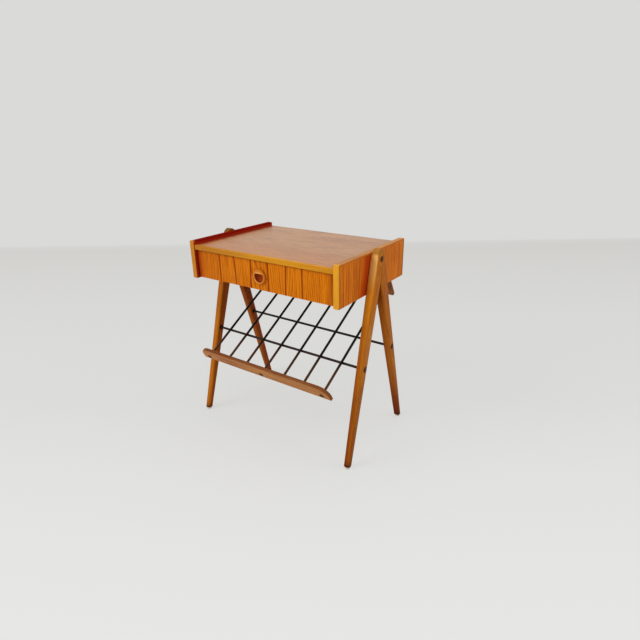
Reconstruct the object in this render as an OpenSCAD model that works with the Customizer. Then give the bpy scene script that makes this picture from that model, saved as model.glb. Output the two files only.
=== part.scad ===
// Bedside table: a case with a drawer between two A-shaped leg frames, over a sloping magazine rack of wires.
// Millimetres, Z up, front at the -Y side. The origin is on the floor, under the middle of the outline.

/* [Case] */
// Width over the two side panels
case_w = 460; // [380:1:560]
// Depth of the side panels
case_d = 314; // [290:1:360]
// Height of the side panels' lower edges above the floor
case_z = 421; // [400:1:450]
// Height of the side panels
side_h = 99; // [90:1:130]
// Thickness of the side panels
side_t = 15; // [14:0.5:20]
// Depth of the lipping on a side panel's front edge
side_front_lip = 6; // [3:0.5:12]
// Height of the lipping on a side panel's upper edge
side_top_lip = 4; // [2:0.5:8]
// Rounding of the boards' outer edges
edge_r = 1; // [0.5:0.1:1.5]

/* [Top and back] */
// Thickness of the top
top_t = 12; // [10:0.5:16]
// Height of the side panels' upper edges over the top's surface
top_drop = 10; // [5:0.5:16]
// Distance of the top's front edge behind the side panels' front edges
top_set = 2; // [0:0.5:6]
// Depth of the lipping on the top's front edge
top_lip = 9; // [5:0.5:20]
// Thickness of the back panel
back_t = 5; // [3:0.5:8]
// Distance of the back panel in front of the side panels' rear edges
back_set = 4; // [2:0.5:10]
// Depth of the grooves that hold the back panel
back_groove = 5; // [3:0.5:8]
// Distance between the dowels in one end of the top
case_dowel_pitch = 80; // [50:1:88]
// Diameter of the dowels in the top
case_dowel_d = 6; // [4:0.5:7]
// Length of the dowels in the top
case_dowel_l = 24; // [18:1:30]
// Depth of those dowels in the side panels
case_dowel_bite = 8; // [5:0.5:11]

/* [Legs] */
// Height of the legs' apex over the side panels' upper edges
apex_over = 6; // [3:0.5:14]
// Place of the apex in front of the case's middle
apex_front = 2.5; // [0:0.5:12]
// Height of the rounded top of the apex
apex_rise = 17.5; // [12:0.5:20]
// Distance of each foot from the apex, along the depth
foot_spread = 141; // [120:1:160]
// Distance below the apex at which the middle lines of two legs meet
cross_drop = 21; // [14:1:28]
// Distance of a foot's middle outside the side panel
foot_out = 17; // [13:0.5:24]
// Distance of a leg's middle outside the side panel, at the apex
apex_out = 8; // [7:0.5:10]
// Width of a leg at the foot, along the table's width
leg_foot_w = 16.5; // [14:0.5:20]
// Depth of a leg at the foot
leg_foot_d = 15; // [13:0.5:20]
// Width of a leg at the apex
leg_top_w = 22; // [20:0.5:26]
// Depth of a leg at the apex
leg_top_d = 37; // [34:0.5:40]
// Rounding of the legs' long edges
leg_r = 5; // [2:0.5:6]
// Height of the glides under the feet
glide_h = 3; // [2:0.5:6]
// Diameter of the glides
glide_d = 12; // [9:0.5:13]
// Length of a glide's pin in the foot
glide_pin_l = 11; // [8:0.5:16]
// Diameter of the dowels across the mitres
leg_dowel_d = 8; // [6:0.5:9]
// Length of the dowels across the mitres
leg_dowel_l = 26; // [20:1:30]
// Distance of those dowels below the apex screws
leg_dowel_drop = 22; // [16:1:26]

/* [Rods] */
// Diameter of the two rods
rod_d = 6.5; // [4:0.5:8]
// Distance of the front rod's axis below the side panels' lower edges
rod_front_drop = 174.5; // [165:0.5:185]
// Distance of the rear rod's axis below the side panels' lower edges
rod_rear_drop = 169; // [140:0.5:200]
// Thickness of leg left outside a rod's end
rod_cover = 6; // [4:0.5:8]

/* [Magazine rack] */
// Slope of the wires
rack_slope = 30; // [27:0.5:33]
// Distance of the outermost wires from the side panels' planes
wire_edge = 26; // [20:0.5:40]
// Diameter of the wires
wire_d = 6.5; // [4:0.5:8]
// Depth to which the wires sit in the rails
wire_seat = 5; // [3:0.5:6]
// Distance from the front rod to the front rail, along the wires
rack_front = 94.5; // [80:0.5:110]
// Thickness of the rails
rail_t = 9; // [8:0.5:12]
// Gap between the front rail's ends and the side panels' planes
rail_end_gap = 1.5; // [-4:0.5:8]
// Height of the rails below the wires' axes
rail_below = 11.5; // [8:0.5:14]
// Height of the front rail above the wires' axes
rail_above = 29.5; // [26:0.5:36]
// Radius of the front rail's upper corners
rail_end_r = 30; // [16:1:34]
// Rounding of the front rail's edges
rail_r = 2.5; // [1:0.5:3.5]
// Diameter of the rear rail's dowels
rail_dowel_d = 5; // [4:0.5:6]
// Length of the rear rail's dowels
rail_dowel_l = 20; // [14:1:22]
// Distance of those dowels in front of the side panels' rear edges
rail_dowel_in = 51; // [46:0.5:56]
// Height of those dowels over the side panels' lower edges
rail_dowel_up = 12.5; // [8:0.5:16]
// Distance of those dowels below the rear rail's upper edge
rail_dowel_drop = 10; // [8:0.5:14]

/* [Drawer] */
// Distance of the drawer front behind the side panels' front edges
front_set = 9.5; // [6:0.5:20]
// Thickness of the drawer front
front_t = 17; // [15:0.5:20]
// Gap between the drawer front and the case
front_gap = 1; // [0.5:0.1:2]
// Height of the drawer front's lower edge above the side panels' lower edges
front_lift = 2; // [0:0.5:4]
// Gap between the closed drawer's rear end and the rear rail
drawer_rear_gap = 6; // [3:0.5:20]
// Thickness of the drawer's sides
drawer_side_t = 12; // [11:0.5:14]
// Gap between the drawer's sides and the top over them
drawer_top_gap = 10; // [6:0.5:14]
// Height of the drawer's sides over the front's lower edge
drawer_side_lift = 5; // [3:0.5:7]
// Gap between a drawer side and its side panel
drawer_side_gap = 1.3; // [1:0.1:2]
// Thickness of the drawer's back
drawer_back_t = 10; // [8:0.5:12]
// Distance of the back's upper edge below the sides' upper edges
drawer_back_drop = 8; // [0:0.5:14]
// Thickness of the drawer's bottom
drawer_bottom_t = 4; // [3:0.5:5]
// Height of the bottom over the sides' lower edges
drawer_bottom_lift = 5; // [4:0.5:7]
// Depth of the drawer's grooves and housings
drawer_groove = 4; // [3:0.5:4.5]
// Depth to which the sides and the bottom run into the front
front_housing = 8; // [4:0.5:10]

/* [Runners] */
// Distance that a runner stands off its side panel
runner_w = 7; // [5:0.5:8]
// Height of a runner
runner_h = 14; // [10:0.5:16]
// Height of a runner's middle over the drawer sides' lower edges
runner_up = 30; // [26:1:34]
// Running gap between a runner and its groove
slide_gap = 0.4; // [0.3:0.1:0.8]
// Gap between a runner's front end and the closed drawer's front
stop_gap = 0.4; // [0.3:0.1:1]

/* [Knob] */
// Diameter of the knob
knob_d = 38; // [34:1:44]
// Height of the knob's middle over the drawer front's lower edge
knob_up = 34.5; // [30:0.5:40]
// Distance that the knob stands out of the drawer front
knob_out = 6; // [4:0.5:10]
// Diameter of the knob's spigot
knob_spigot_d = 32; // [31:0.5:33]
// Thickness of the knob behind its finger hollow
knob_floor = 4; // [3.5:0.5:6]
// Rounding of the knob's outer edge
knob_edge_r = 3; // [1:0.5:3.5]
// Radius of the finger hollow
hollow_r = 14; // [11:0.5:14.5]
// Depth of the finger hollow
hollow_depth = 11; // [8:0.5:12]
// Height of the lip's lower edge over the knob's middle
lip_up = 6; // [3:0.5:8]
// Thickness of the lip over the hollow
lip_t = 4.5; // [3:0.5:6]

/* [Screws] */
// Distance of the screws in the apexes below the top of the apex
apex_screw_drop = 23.5; // [19:0.5:28]
// Head diameter of the screws in the apexes
apex_head_d = 11; // [8:0.5:12]
// Shank diameter of the screws in the apexes
apex_shank_d = 4.5; // [3:0.5:5]
// Depth of the screws in the side panels
apex_screw_bite = 12; // [8:0.5:13]
// Head diameter of the screws at the rods' ends
rod_head_d = 9; // [7:0.5:10]
// Shank diameter of the screws at the rods' ends
rod_shank_d = 3; // [2:0.1:3.5]
// Depth of those screws in the rods
rod_screw_bite = 10; // [6:0.5:14]
// Head diameter of the screws in the front rail
rail_head_d = 8; // [6:0.5:10]
// Shank diameter of the screws in the front rail
rail_shank_d = 2.5; // [2:0.1:2.8]
// Depth of those screws in the wires
rail_screw_bite = 10; // [6:0.5:14]
// Head diameter of the countersunk screws
wood_head_d = 7; // [5:0.5:8]
// Shank diameter of the countersunk screws
wood_shank_d = 3.5; // [2.5:0.1:4]
// Length of the screws from the case into the legs
leg_screw_l = 26; // [22:1:28]
// Height of those screws over the side panels' lower edges
leg_screw_up = 12; // [9:0.5:14]
// Length of the screws in the runners
runner_screw_l = 16; // [12:1:18]
// Distance between the screws in a runner
runner_screw_pitch = 90; // [60:1:95]
// Diameter of the pins in the drawer's bottom
pin_d = 2; // [1.5:0.1:3]
// Length of the pins in the drawer's bottom
pin_l = 18; // [12:1:22]
// Depth of the knob's screw in the knob
knob_screw_bite = 3; // [2:0.1:3.2]
// Distance between the pins in the drawer's bottom
pin_pitch = 140; // [100:1:170]
// Width of the slots in the screw heads
slot_w = 1.2; // [0.8:0.1:1.6]
// Clearance round dowels, shanks and wires in their holes
fit = 0.1; // [0.05:0.01:0.15]

/* [Hidden] */

// Colours, as the photograph shows them
teak = "#b5651d";
teak_red = "#9c4a1a";
lipping_wood = "#c98a3a";
leg_wood = "#a8692c";
pale_wood = "#d2a56d";
back_wood = "#8f5a2c";
black_steel = "#1d1a18";
dark_steel = "#4a3c30";
glide_white = "#e6e0d2";

// Number of wires in the rack
wire_n = 7;
// Facets of round shapes
round_fn = 48;
edge_fn = 24;
hull_fn = 32;
// Overrun of a cut past the face that it opens
over = 1;
// Thickness of the slabs that a hull is spanned over
slab = 0.01;
// Steps of the arcs that round the apex and the front rail's edges
dome_steps = [0:17:85];
rail_steps = [0, 30, 60, 90];
// Height of a domed screw head, as a share of its diameter
dome_ratio = 0.3;
// Depth of a screw's slot, as a share of its width
slot_ratio = 0.6;
// Turns of the slots in the apex screws, the rod screws and, from wire to wire, the rail screws
apex_slot_turn = 20;
rod_slot_turn = 55;
rail_slot_turn = 15;

// Case, from its own middle
half_w = case_w / 2;
half_in = half_w - side_t;
half_d = case_d / 2;
side_top_z = case_z + side_h;
top_z = side_top_z - top_drop;
top_under_z = top_z - top_t;
top_front_y = -half_d + top_set;
back_y = half_d - back_set - back_t;

// Legs
apex_y = -apex_front;
apex_z = side_top_z + apex_over;
apex_mid_z = apex_z - apex_rise;
cross_z = apex_z - cross_drop;
function leg_off(z) = foot_spread * (1 - z / cross_z);
function leg_x(z) = half_w + foot_out + (apex_out - foot_out) * z / apex_z;
function leg_w(z) = leg_foot_w + (leg_top_w - leg_foot_w) * z / apex_z;
function leg_d(z) = leg_foot_d + (leg_top_d - leg_foot_d) * z / apex_z;
function leg_outer(z) = leg_x(z) + leg_w(z) / 2;
// Seat of a screw head on a leg's leaning outer face, where the head's lower edge meets it
function head_seat(z, head_d) = leg_outer(z - head_d / 2);
// Half depth of the apex where its rounded top begins
apex_half = leg_d(apex_mid_z) / 2 + leg_off(apex_mid_z);
apex_screw_z = apex_z - apex_screw_drop;
leg_dowel_z = apex_screw_z - leg_dowel_drop;
leg_screw_z = case_z + leg_screw_up;

// Rods
rod_front_z = case_z - rod_front_drop;
rod_rear_z = case_z - rod_rear_drop;
rod_front_y = apex_y - leg_off(rod_front_z);
rod_rear_y = apex_y + leg_off(rod_rear_z);

// Magazine rack, in a frame whose origin is the front rod's axis, with Y along the wires and Z square to them
wire_z = (rod_d + wire_d) / 2 + fit;
rail_low_z = wire_z - rail_below;
rail_top_z = wire_z + rail_above;
rail_half = half_in - rail_end_gap;
wire_pitch = 2 * (half_in - wire_edge) / (wire_n - 1);
// The rear rail's dowels lie at these distances behind and above the front rod
dowel_back = half_d - rail_dowel_in - rod_front_y;
dowel_high = rod_front_drop + rail_dowel_up;
rail_dowel_z = dowel_high * cos(rack_slope) - dowel_back * sin(rack_slope);
rack_rear = dowel_back * cos(rack_slope) + dowel_high * sin(rack_slope) - rail_t / 2;
rear_top_z = rail_dowel_z + rail_dowel_drop;

// Drawer
front_y = -half_d + front_set;
front_back_y = front_y + front_t;
front_low_z = case_z + front_lift;
front_h = top_under_z - front_gap - front_low_z;
drawer_out_x = half_in - drawer_side_gap;
drawer_in_x = drawer_out_x - drawer_side_t;
drawer_low_z = front_low_z + drawer_side_lift;
drawer_side_h = top_under_z - drawer_top_gap - drawer_low_z;
drawer_end_y = rod_front_y + rack_rear * cos(rack_slope) - rear_top_z * sin(rack_slope) - drawer_rear_gap;
drawer_l = drawer_end_y - front_back_y;
drawer_back_y = drawer_end_y - drawer_back_t;
bottom_z = drawer_low_z + drawer_bottom_lift;
bottom_top_z = bottom_z + drawer_bottom_t;
back_h = drawer_low_z + drawer_side_h - drawer_back_drop - bottom_top_z;
runner_z = drawer_low_z + runner_up;
runner_in_x = half_in - runner_w;
runner_y = front_back_y + stop_gap;
runner_l = drawer_l - stop_gap;
runner_mid_y = runner_y + runner_l / 2;
knob_z = front_low_z + knob_up;
knob_spigot_l = hollow_depth + knob_floor - knob_out;

// The outline's middle along the depth becomes the origin, between the front rail and the case's rear
reach_y = rack_front + rail_t - rail_r;
reach_z = rail_top_z - rail_r;
rail_reach = reach_y * cos(rack_slope) + reach_z * sin(rack_slope) + rail_r;
case_y = (rail_reach - rod_front_y - half_d) / 2;

// Places its children in the part's frame, given in the case's own frame
module in_case() {
    translate([0, case_y, 0]) children();
}

// Places its children in the part's frame, given in the rack's own frame
module in_rack() {
    in_case() translate([0, rod_front_y, rod_front_z]) rotate([rack_slope, 0, 0]) children();
}

// Rectangle about its middle with round corners of true arcs
module round_rect(x, y, r, facets = edge_fn) {
    square([x - 2 * r, y], center = true);
    square([x, y - 2 * r], center = true);
    for (sx = [-1, 1], sy = [-1, 1])
        translate([sx * (x / 2 - r), sy * (y / 2 - r)]) circle(r = r, $fn = facets);
}

// Board from its lowest corner, with all twelve edges rounded
module board(size, r = edge_r) {
    translate(size / 2) intersection() {
        linear_extrude(height = size[2], center = true) round_rect(size[0], size[1], r);
        rotate([90, 0, 0]) linear_extrude(height = size[1], center = true) round_rect(size[0], size[2], r);
        rotate([90, 0, 90]) linear_extrude(height = size[0], center = true) round_rect(size[1], size[2], r);
    }
}

// Round bar along X from one place to another
module bar_x(x0, x1, d) {
    translate([min(x0, x1), 0, 0]) rotate([0, 90, 0]) cylinder(h = abs(x1 - x0), d = d, $fn = round_fn);
}

// Round bar along Y from one place to another
module bar_y(y0, y1, d) {
    translate([0, max(y0, y1), 0]) rotate([90, 0, 0]) cylinder(h = abs(y1 - y0), d = d, $fn = round_fn);
}

// Slotted screw with a domed head, its head's seat at the origin and its shank along -Z
module dome_screw(head_d, shank_d, length, slot_turn = 0) {
    head_h = head_d * dome_ratio;
    ball_r = (head_d * head_d / 4 + head_h * head_h) / (2 * head_h);
    difference() {
        intersection() {
            translate([0, 0, head_h - ball_r]) sphere(r = ball_r, $fn = round_fn);
            cylinder(h = head_h + over, d = head_d, $fn = round_fn);
        }
        rotate([0, 0, slot_turn]) translate([-head_d, -slot_w / 2, head_h / 2])
            cube([2 * head_d, slot_w, head_h]);
    }
    translate([0, 0, -length]) cylinder(h = length, d = shank_d, $fn = round_fn);
}

// Countersunk screw or its hole, with the head's flat face at the origin and its shank along -Z
module sunk_screw(head_d, shank_d, length, grow = 0) {
    sink = (head_d - shank_d) / 2;
    shank = shank_d + 2 * grow;
    translate([0, 0, -sink]) cylinder(h = sink, d1 = shank, d2 = head_d + 2 * grow, $fn = round_fn);
    translate([0, 0, -length - grow]) cylinder(h = length - sink + grow + slab, d = shank, $fn = round_fn);
}

// The slot of a countersunk screw
module sunk_slot(head_d) {
    translate([-head_d, -slot_w / 2, -slot_w * slot_ratio]) cube([2 * head_d, slot_w, slot_w]);
}

// Side panel with its lippings, on the +X side, before it is sawn into its three pieces
module side_blank() {
    translate([half_in, -half_d, case_z]) board([side_t, case_d, side_h]);
}

// Places of fasteners along the depth
function case_dowel_places() = [for (i = [-1.5:1:1.5]) i * case_dowel_pitch];
function runner_screw_places() = [for (i = [-1:1]) runner_mid_y + i * runner_screw_pitch];

// The countersunk screws of the runner, or their holes, on the +X side
module runner_screw_set(grow = 0) {
    for (y = runner_screw_places())
        translate([runner_in_x, y, runner_z]) rotate([0, -90, 0])
            sunk_screw(wood_head_d, wood_shank_d, runner_screw_l, grow);
}

// The countersunk screw into a leg, or its hole, on the +X side
module leg_screw(side, grow = 0) {
    translate([half_in, apex_y + side * leg_off(leg_screw_z), leg_screw_z]) rotate([0, -90, 0])
        sunk_screw(wood_head_d, wood_shank_d, leg_screw_l, grow);
}

// The dowels in one end of the top, or their holes, on the +X side
module case_dowel_set(x0, x1, grow = 0) {
    for (y = case_dowel_places())
        translate([0, y, top_z - top_t / 2]) bar_x(x0, x1, case_dowel_d + 2 * grow);
}

// A dowel of the rear rail, or its hole, in the rack's frame
module rail_dowel(x0, x1, grow = 0) {
    translate([0, rack_rear + rail_t / 2, rail_dowel_z]) bar_x(x0, x1, rail_dowel_d + 2 * grow);
}

// Everything that is cut out of a side panel's blank, on the +X side
module side_cuts() {
    translate([half_in - over, back_y - fit, case_z - over])
        cube([back_groove + over, back_t + 2 * fit, top_under_z - case_z + over]);
    case_dowel_set(half_in - over, half_in + case_dowel_bite + fit, fit);
    for (side = [-1, 1]) leg_screw(side, fit);
    translate([0, apex_y, apex_screw_z])
        bar_x(half_w - apex_screw_bite - fit, half_w + over, apex_shank_d + 2 * fit);
    runner_screw_set(fit);
    translate([0, rod_front_y, rod_front_z]) rotate([rack_slope, 0, 0])
        rail_dowel(half_in - over, half_in + rail_dowel_l / 2 + fit, fit);
}

// The part of a blank that becomes the lipping on the front edge
module front_lip_zone() {
    translate([half_in - over, -half_d - over, case_z - over])
        cube([side_t + 2 * over, side_front_lip + over, side_h + 2 * over]);
}

// The part of a blank that becomes the lipping on the upper edge, from a place along the depth
module top_lip_zone(y) {
    translate([half_in - over, y, side_top_z - side_top_lip])
        cube([side_t + 2 * over, case_d + 2 * over, side_top_lip + over]);
}

// Side panel without its lippings
module side_panel() {
    difference() {
        side_blank();
        side_cuts();
        front_lip_zone();
        top_lip_zone(-half_d - over);
    }
}

// Lipping on the front edge, as high as the panel
module side_lipping_front() {
    intersection() {
        side_blank();
        front_lip_zone();
    }
}

// Lipping on the upper edge, behind the front one
module side_lipping_top() {
    intersection() {
        side_blank();
        top_lip_zone(-half_d + side_front_lip);
    }
}

module side_panel_left() {
    color(teak) in_case() mirror([1, 0, 0]) side_panel();
}

module side_panel_right() {
    color(teak) in_case() side_panel();
}

module side_lipping_front_left() {
    color(lipping_wood) in_case() mirror([1, 0, 0]) side_lipping_front();
}

module side_lipping_front_right() {
    color(lipping_wood) in_case() side_lipping_front();
}

module side_lipping_top_left() {
    color(lipping_wood) in_case() mirror([1, 0, 0]) side_lipping_top();
}

module side_lipping_top_right() {
    color(lipping_wood) in_case() side_lipping_top();
}

// The top with its lipping, before it is sawn in two
module top_blank() {
    depth = half_d - top_front_y;
    translate([0, top_front_y + depth / 2, top_z - top_t / 2]) rotate([90, 0, 90])
        linear_extrude(height = 2 * half_in, center = true) round_rect(depth, top_t, edge_r);
}

// The part of that blank that becomes the lipping
module top_lip_cut() {
    translate([-half_w, top_front_y - over, top_under_z - over])
        cube([case_w, top_lip + over, top_t + 2 * over]);
}

module top_panel() {
    color(teak) in_case() difference() {
        top_blank();
        top_lip_cut();
        for (m = [0, 1]) mirror([m, 0, 0])
            case_dowel_set(half_in + case_dowel_bite - case_dowel_l - fit, half_in + over, fit);
    }
}

module top_lipping() {
    color(lipping_wood) in_case() intersection() {
        top_blank();
        top_lip_cut();
    }
}

module back_panel() {
    reach = half_in + back_groove - fit;
    color(back_wood) in_case() translate([-reach, back_y, case_z + front_lift])
        cube([2 * reach, back_t, top_under_z - case_z - front_lift]);
}

module case_dowels() {
    color(pale_wood) in_case() for (m = [0, 1]) mirror([m, 0, 0])
        case_dowel_set(half_in + case_dowel_bite - case_dowel_l, half_in + case_dowel_bite);
}

// Runner on the +X side
module runner() {
    difference() {
        translate([runner_in_x, runner_y, runner_z - runner_h / 2]) cube([runner_w, runner_l, runner_h]);
        runner_screw_set(fit);
    }
}

module drawer_runner_left() {
    color(pale_wood) in_case() mirror([1, 0, 0]) runner();
}

module drawer_runner_right() {
    color(pale_wood) in_case() runner();
}

module runner_screws() {
    color(dark_steel) in_case() for (m = [0, 1]) mirror([m, 0, 0]) difference() {
        runner_screw_set();
        for (y = runner_screw_places())
            translate([runner_in_x, y, runner_z]) rotate([0, -90, 0]) sunk_slot(wood_head_d);
    }
}

// Level slice of a leg at a height, side is -1 for the front leg and 1 for the rear one
module leg_slice(z, side) {
    translate([leg_x(z), apex_y + side * leg_off(z), z]) linear_extrude(height = slab)
        round_rect(leg_w(z), leg_d(z), leg_r, hull_fn);
}

// Rounded top of the apex, with softened outer edges
module apex_dome() {
    hull() for (a = dome_steps) {
        half = apex_half * cos(a);
        width = leg_w(apex_mid_z) - leg_r * (1 - cos(a));
        z = apex_mid_z + apex_rise * sin(a) - slab;
        translate([leg_x(apex_mid_z), apex_y, z]) linear_extrude(height = slab)
            round_rect(width, 2 * half, min(leg_r, half - slab), hull_fn);
    }
}

// All the space on one side of the mitre, on the +X side
module mitre_half(side) {
    reach = 2 * foot_spread;
    translate([0, side > 0 ? apex_y : apex_y - reach, 0]) cube([case_w, reach, 2 * apex_z]);
}

// One leg on the +X side
module leg(side) {
    difference() {
        union() {
            intersection() {
                hull() {
                    leg_slice(glide_h, side);
                    leg_slice(apex_mid_z, side);
                }
                mitre_half(side);
            }
            intersection() {
                apex_dome();
                mitre_half(side);
            }
        }
        translate([0, -case_d, case_z]) cube([half_w, 2 * case_d, side_h + 2 * apex_over]);
        leg_bores(side);
    }
}

// Bores of one leg on the +X side
module leg_bores(side) {
    rod_z = side > 0 ? rod_rear_z : rod_front_z;
    translate([0, apex_y + side * leg_off(rod_z), rod_z]) {
        bar_x(half_in, leg_outer(rod_z) - rod_cover + fit, rod_d + 2 * fit);
        bar_x(half_in, leg_outer(rod_z) + over, rod_shank_d + 2 * fit);
    }
    translate([0, apex_y, apex_screw_z])
        bar_x(half_in, leg_outer(apex_screw_z) + over, apex_shank_d + 2 * fit);
    leg_screw(side, fit);
    leg_dowel(fit);
    glide_pin(side, fit);
}

// The dowel across a mitre, or its hole, on the +X side
module leg_dowel(grow = 0) {
    reach = leg_dowel_l / 2 + grow;
    translate([leg_x(leg_dowel_z), 0, leg_dowel_z])
        bar_y(apex_y - reach, apex_y + reach, leg_dowel_d + 2 * grow);
}

// The pin of a glide, or its hole, on the +X side
module glide_pin(side, grow = 0) {
    translate([leg_x(0), apex_y + side * leg_off(0), 0])
        cylinder(h = glide_h + glide_pin_l + grow, d = pin_d + 2 * grow, $fn = round_fn);
}

// A glide with its pin, on the +X side
module glide(side) {
    glide_pin(side);
    translate([leg_x(0), apex_y + side * leg_off(0), 0]) cylinder(h = glide_h, d = glide_d, $fn = round_fn);
}

module leg_front_left() {
    color(leg_wood) in_case() mirror([1, 0, 0]) leg(-1);
}

module leg_rear_left() {
    color(leg_wood) in_case() mirror([1, 0, 0]) leg(1);
}

module leg_front_right() {
    color(leg_wood) in_case() leg(-1);
}

module leg_rear_right() {
    color(leg_wood) in_case() leg(1);
}

module leg_dowels() {
    color(pale_wood) in_case() for (m = [0, 1]) mirror([m, 0, 0]) leg_dowel();
}

module apex_screws() {
    seat = head_seat(apex_screw_z, apex_head_d);
    color(dark_steel) in_case() for (m = [0, 1]) mirror([m, 0, 0])
        translate([seat, apex_y, apex_screw_z]) rotate([0, 90, 0])
            dome_screw(apex_head_d, apex_shank_d, seat - half_w + apex_screw_bite, apex_slot_turn);
}

module leg_screws() {
    color(dark_steel) in_case() for (m = [0, 1], side = [-1, 1]) mirror([m, 0, 0]) difference() {
        leg_screw(side);
        translate([half_in, apex_y + side * leg_off(leg_screw_z), leg_screw_z]) rotate([0, -90, 0])
            sunk_slot(wood_head_d);
    }
}

module leg_glides() {
    color(glide_white) in_case() for (m = [0, 1], side = [-1, 1]) mirror([m, 0, 0]) glide(side);
}

// A rod along X with a tapped hole in each end
module rod(z, y) {
    reach = leg_outer(z) - rod_cover;
    translate([0, y, z]) difference() {
        bar_x(-reach, reach, rod_d);
        for (s = [-1, 1])
            bar_x(s * (reach - rod_screw_bite - fit), s * (reach + over), rod_shank_d + 2 * fit);
    }
}

module rod_front() {
    color(black_steel) in_case() rod(rod_front_z, rod_front_y);
}

module rod_rear() {
    color(black_steel) in_case() rod(rod_rear_z, rod_rear_y);
}

module rod_screws() {
    color(dark_steel) in_case() for (m = [0, 1]) mirror([m, 0, 0])
        for (place = [[rod_front_y, rod_front_z], [rod_rear_y, rod_rear_z]])
            translate([head_seat(place[1], rod_head_d), place[0], place[1]]) rotate([0, 90, 0])
                dome_screw(rod_head_d, rod_shank_d, rod_cover + rod_screw_bite, rod_slot_turn);
}

function wire_x(i) = (i - (wire_n + 1) / 2) * wire_pitch;
// The outermost wires and the middle one are screwed to the front rail
function wire_screwed(i) = i == 1 || i == wire_n || i == (wire_n + 1) / 2;

// Wire number i, along the rack's own Y
module rack_wire(i) {
    front = -rack_front - wire_seat;
    color(black_steel) in_rack() translate([wire_x(i), 0, wire_z]) difference() {
        bar_y(front + fit, rack_rear + wire_seat - fit, wire_d);
        if (wire_screwed(i)) bar_y(front - over, front + rail_screw_bite + fit, rail_shank_d + 2 * fit);
    }
}

module rack_wire_1() rack_wire(1);
module rack_wire_2() rack_wire(2);
module rack_wire_3() rack_wire(3);
module rack_wire_4() rack_wire(4);
module rack_wire_5() rack_wire(5);
module rack_wire_6() rack_wire(6);
module rack_wire_7() rack_wire(7);

// Outline of the front rail in its own plane, drawn in by a margin
module rail_outline(inset) {
    half = rail_half - inset;
    r = rail_end_r - inset;
    low = rail_low_z + inset;
    high = rail_top_z - inset;
    intersection() {
        translate([-half, low]) square([2 * half, high - low]);
        union() {
            translate([-half + r, low]) square([2 * (half - r), high - low]);
            translate([-half, low - r]) square([2 * half, high - low]);
            for (s = [-1, 1]) translate([s * (half - r), high - r]) circle(r = r, $fn = 2 * hull_fn);
        }
    }
}

module rack_rail_front() {
    color(teak) in_rack() difference() {
        hull() for (a = rail_steps) {
            depth = rail_t - 2 * rail_r * (1 - sin(a));
            translate([0, -rack_front - (rail_t - depth) / 2, 0]) rotate([90, 0, 0])
                linear_extrude(height = depth) rail_outline(rail_r * (1 - cos(a)));
        }
        for (i = [1:wire_n]) translate([wire_x(i), 0, wire_z]) {
            bar_y(-rack_front - wire_seat, -rack_front + over, wire_d + 2 * fit);
            if (wire_screwed(i)) bar_y(-rack_front - rail_t - over, -rack_front, rail_shank_d + 2 * fit);
        }
    }
}

module rack_rail_rear() {
    color(teak_red) in_rack() difference() {
        translate([-half_in, rack_rear, rail_low_z]) cube([2 * half_in, rail_t, rear_top_z - rail_low_z]);
        for (i = [1:wire_n]) translate([wire_x(i), 0, wire_z])
            bar_y(rack_rear - over, rack_rear + wire_seat, wire_d + 2 * fit);
        for (m = [0, 1]) mirror([m, 0, 0]) rail_dowel(half_in - rail_dowel_l / 2 - fit, half_in + over, fit);
    }
}

module rail_screws() {
    color(dark_steel) in_rack() for (i = [1:wire_n]) if (wire_screwed(i))
        translate([wire_x(i), -rack_front - rail_t, wire_z]) rotate([90, 0, 0])
            dome_screw(rail_head_d, rail_shank_d, rail_t - wire_seat + rail_screw_bite, rail_slot_turn * i);
}

module rail_dowels() {
    color(pale_wood) in_rack() for (m = [0, 1]) mirror([m, 0, 0])
        rail_dowel(half_in - rail_dowel_l / 2, half_in + rail_dowel_l / 2);
}

// The drawer side's whole section, on the +X side, from the front housing to the rear end
module drawer_side_blank(grow = 0) {
    translate([drawer_in_x - grow, front_back_y - front_housing, drawer_low_z - grow])
        cube([drawer_side_t + 2 * grow, drawer_l + front_housing, drawer_side_h + 2 * grow]);
}

// One drawer side on the +X side
module drawer_side() {
    side_l = drawer_l + front_housing;
    difference() {
        drawer_side_blank();
        translate([runner_in_x - slide_gap, front_back_y, runner_z - runner_h / 2 - slide_gap])
            cube([drawer_side_t, drawer_l + over, runner_h + 2 * slide_gap]);
        translate([drawer_in_x - over, front_back_y - front_housing - over, bottom_z - fit])
            cube([drawer_groove + over + fit, side_l + 2 * over, drawer_bottom_t + 2 * fit]);
        translate([drawer_in_x - over, drawer_back_y - fit, bottom_top_z])
            cube([drawer_groove + over + fit, drawer_back_t + 2 * fit, drawer_side_h]);
    }
}

module drawer_side_left() {
    color(pale_wood) in_case() mirror([1, 0, 0]) drawer_side();
}

module drawer_side_right() {
    color(pale_wood) in_case() drawer_side();
}

module drawer_front() {
    front_w = 2 * (half_in - front_gap);
    bottom_half = drawer_in_x + fit + over;
    color(teak) in_case() difference() {
        translate([-front_w / 2, front_y, front_low_z]) board([front_w, front_t, front_h]);
        for (m = [0, 1]) mirror([m, 0, 0]) translate([0, -fit, 0]) drawer_side_blank(fit);
        translate([-bottom_half, front_back_y - front_housing - fit, bottom_z - fit])
            cube([2 * bottom_half, front_housing + fit + over, drawer_bottom_t + 2 * fit]);
        translate([0, 0, knob_z]) {
            bar_y(front_y - over, front_y + knob_spigot_l + fit, knob_spigot_d + 2 * fit);
            bar_y(front_y, front_back_y + over, wood_shank_d + 2 * fit);
        }
    }
}

module drawer_back() {
    reach = drawer_in_x + drawer_groove;
    color(pale_wood) in_case() difference() {
        translate([-reach, drawer_back_y, bottom_top_z + fit]) cube([2 * reach, drawer_back_t, back_h - fit]);
        drawer_pin_set(bottom_z, bottom_z + pin_l + fit, fit);
    }
}

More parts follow.
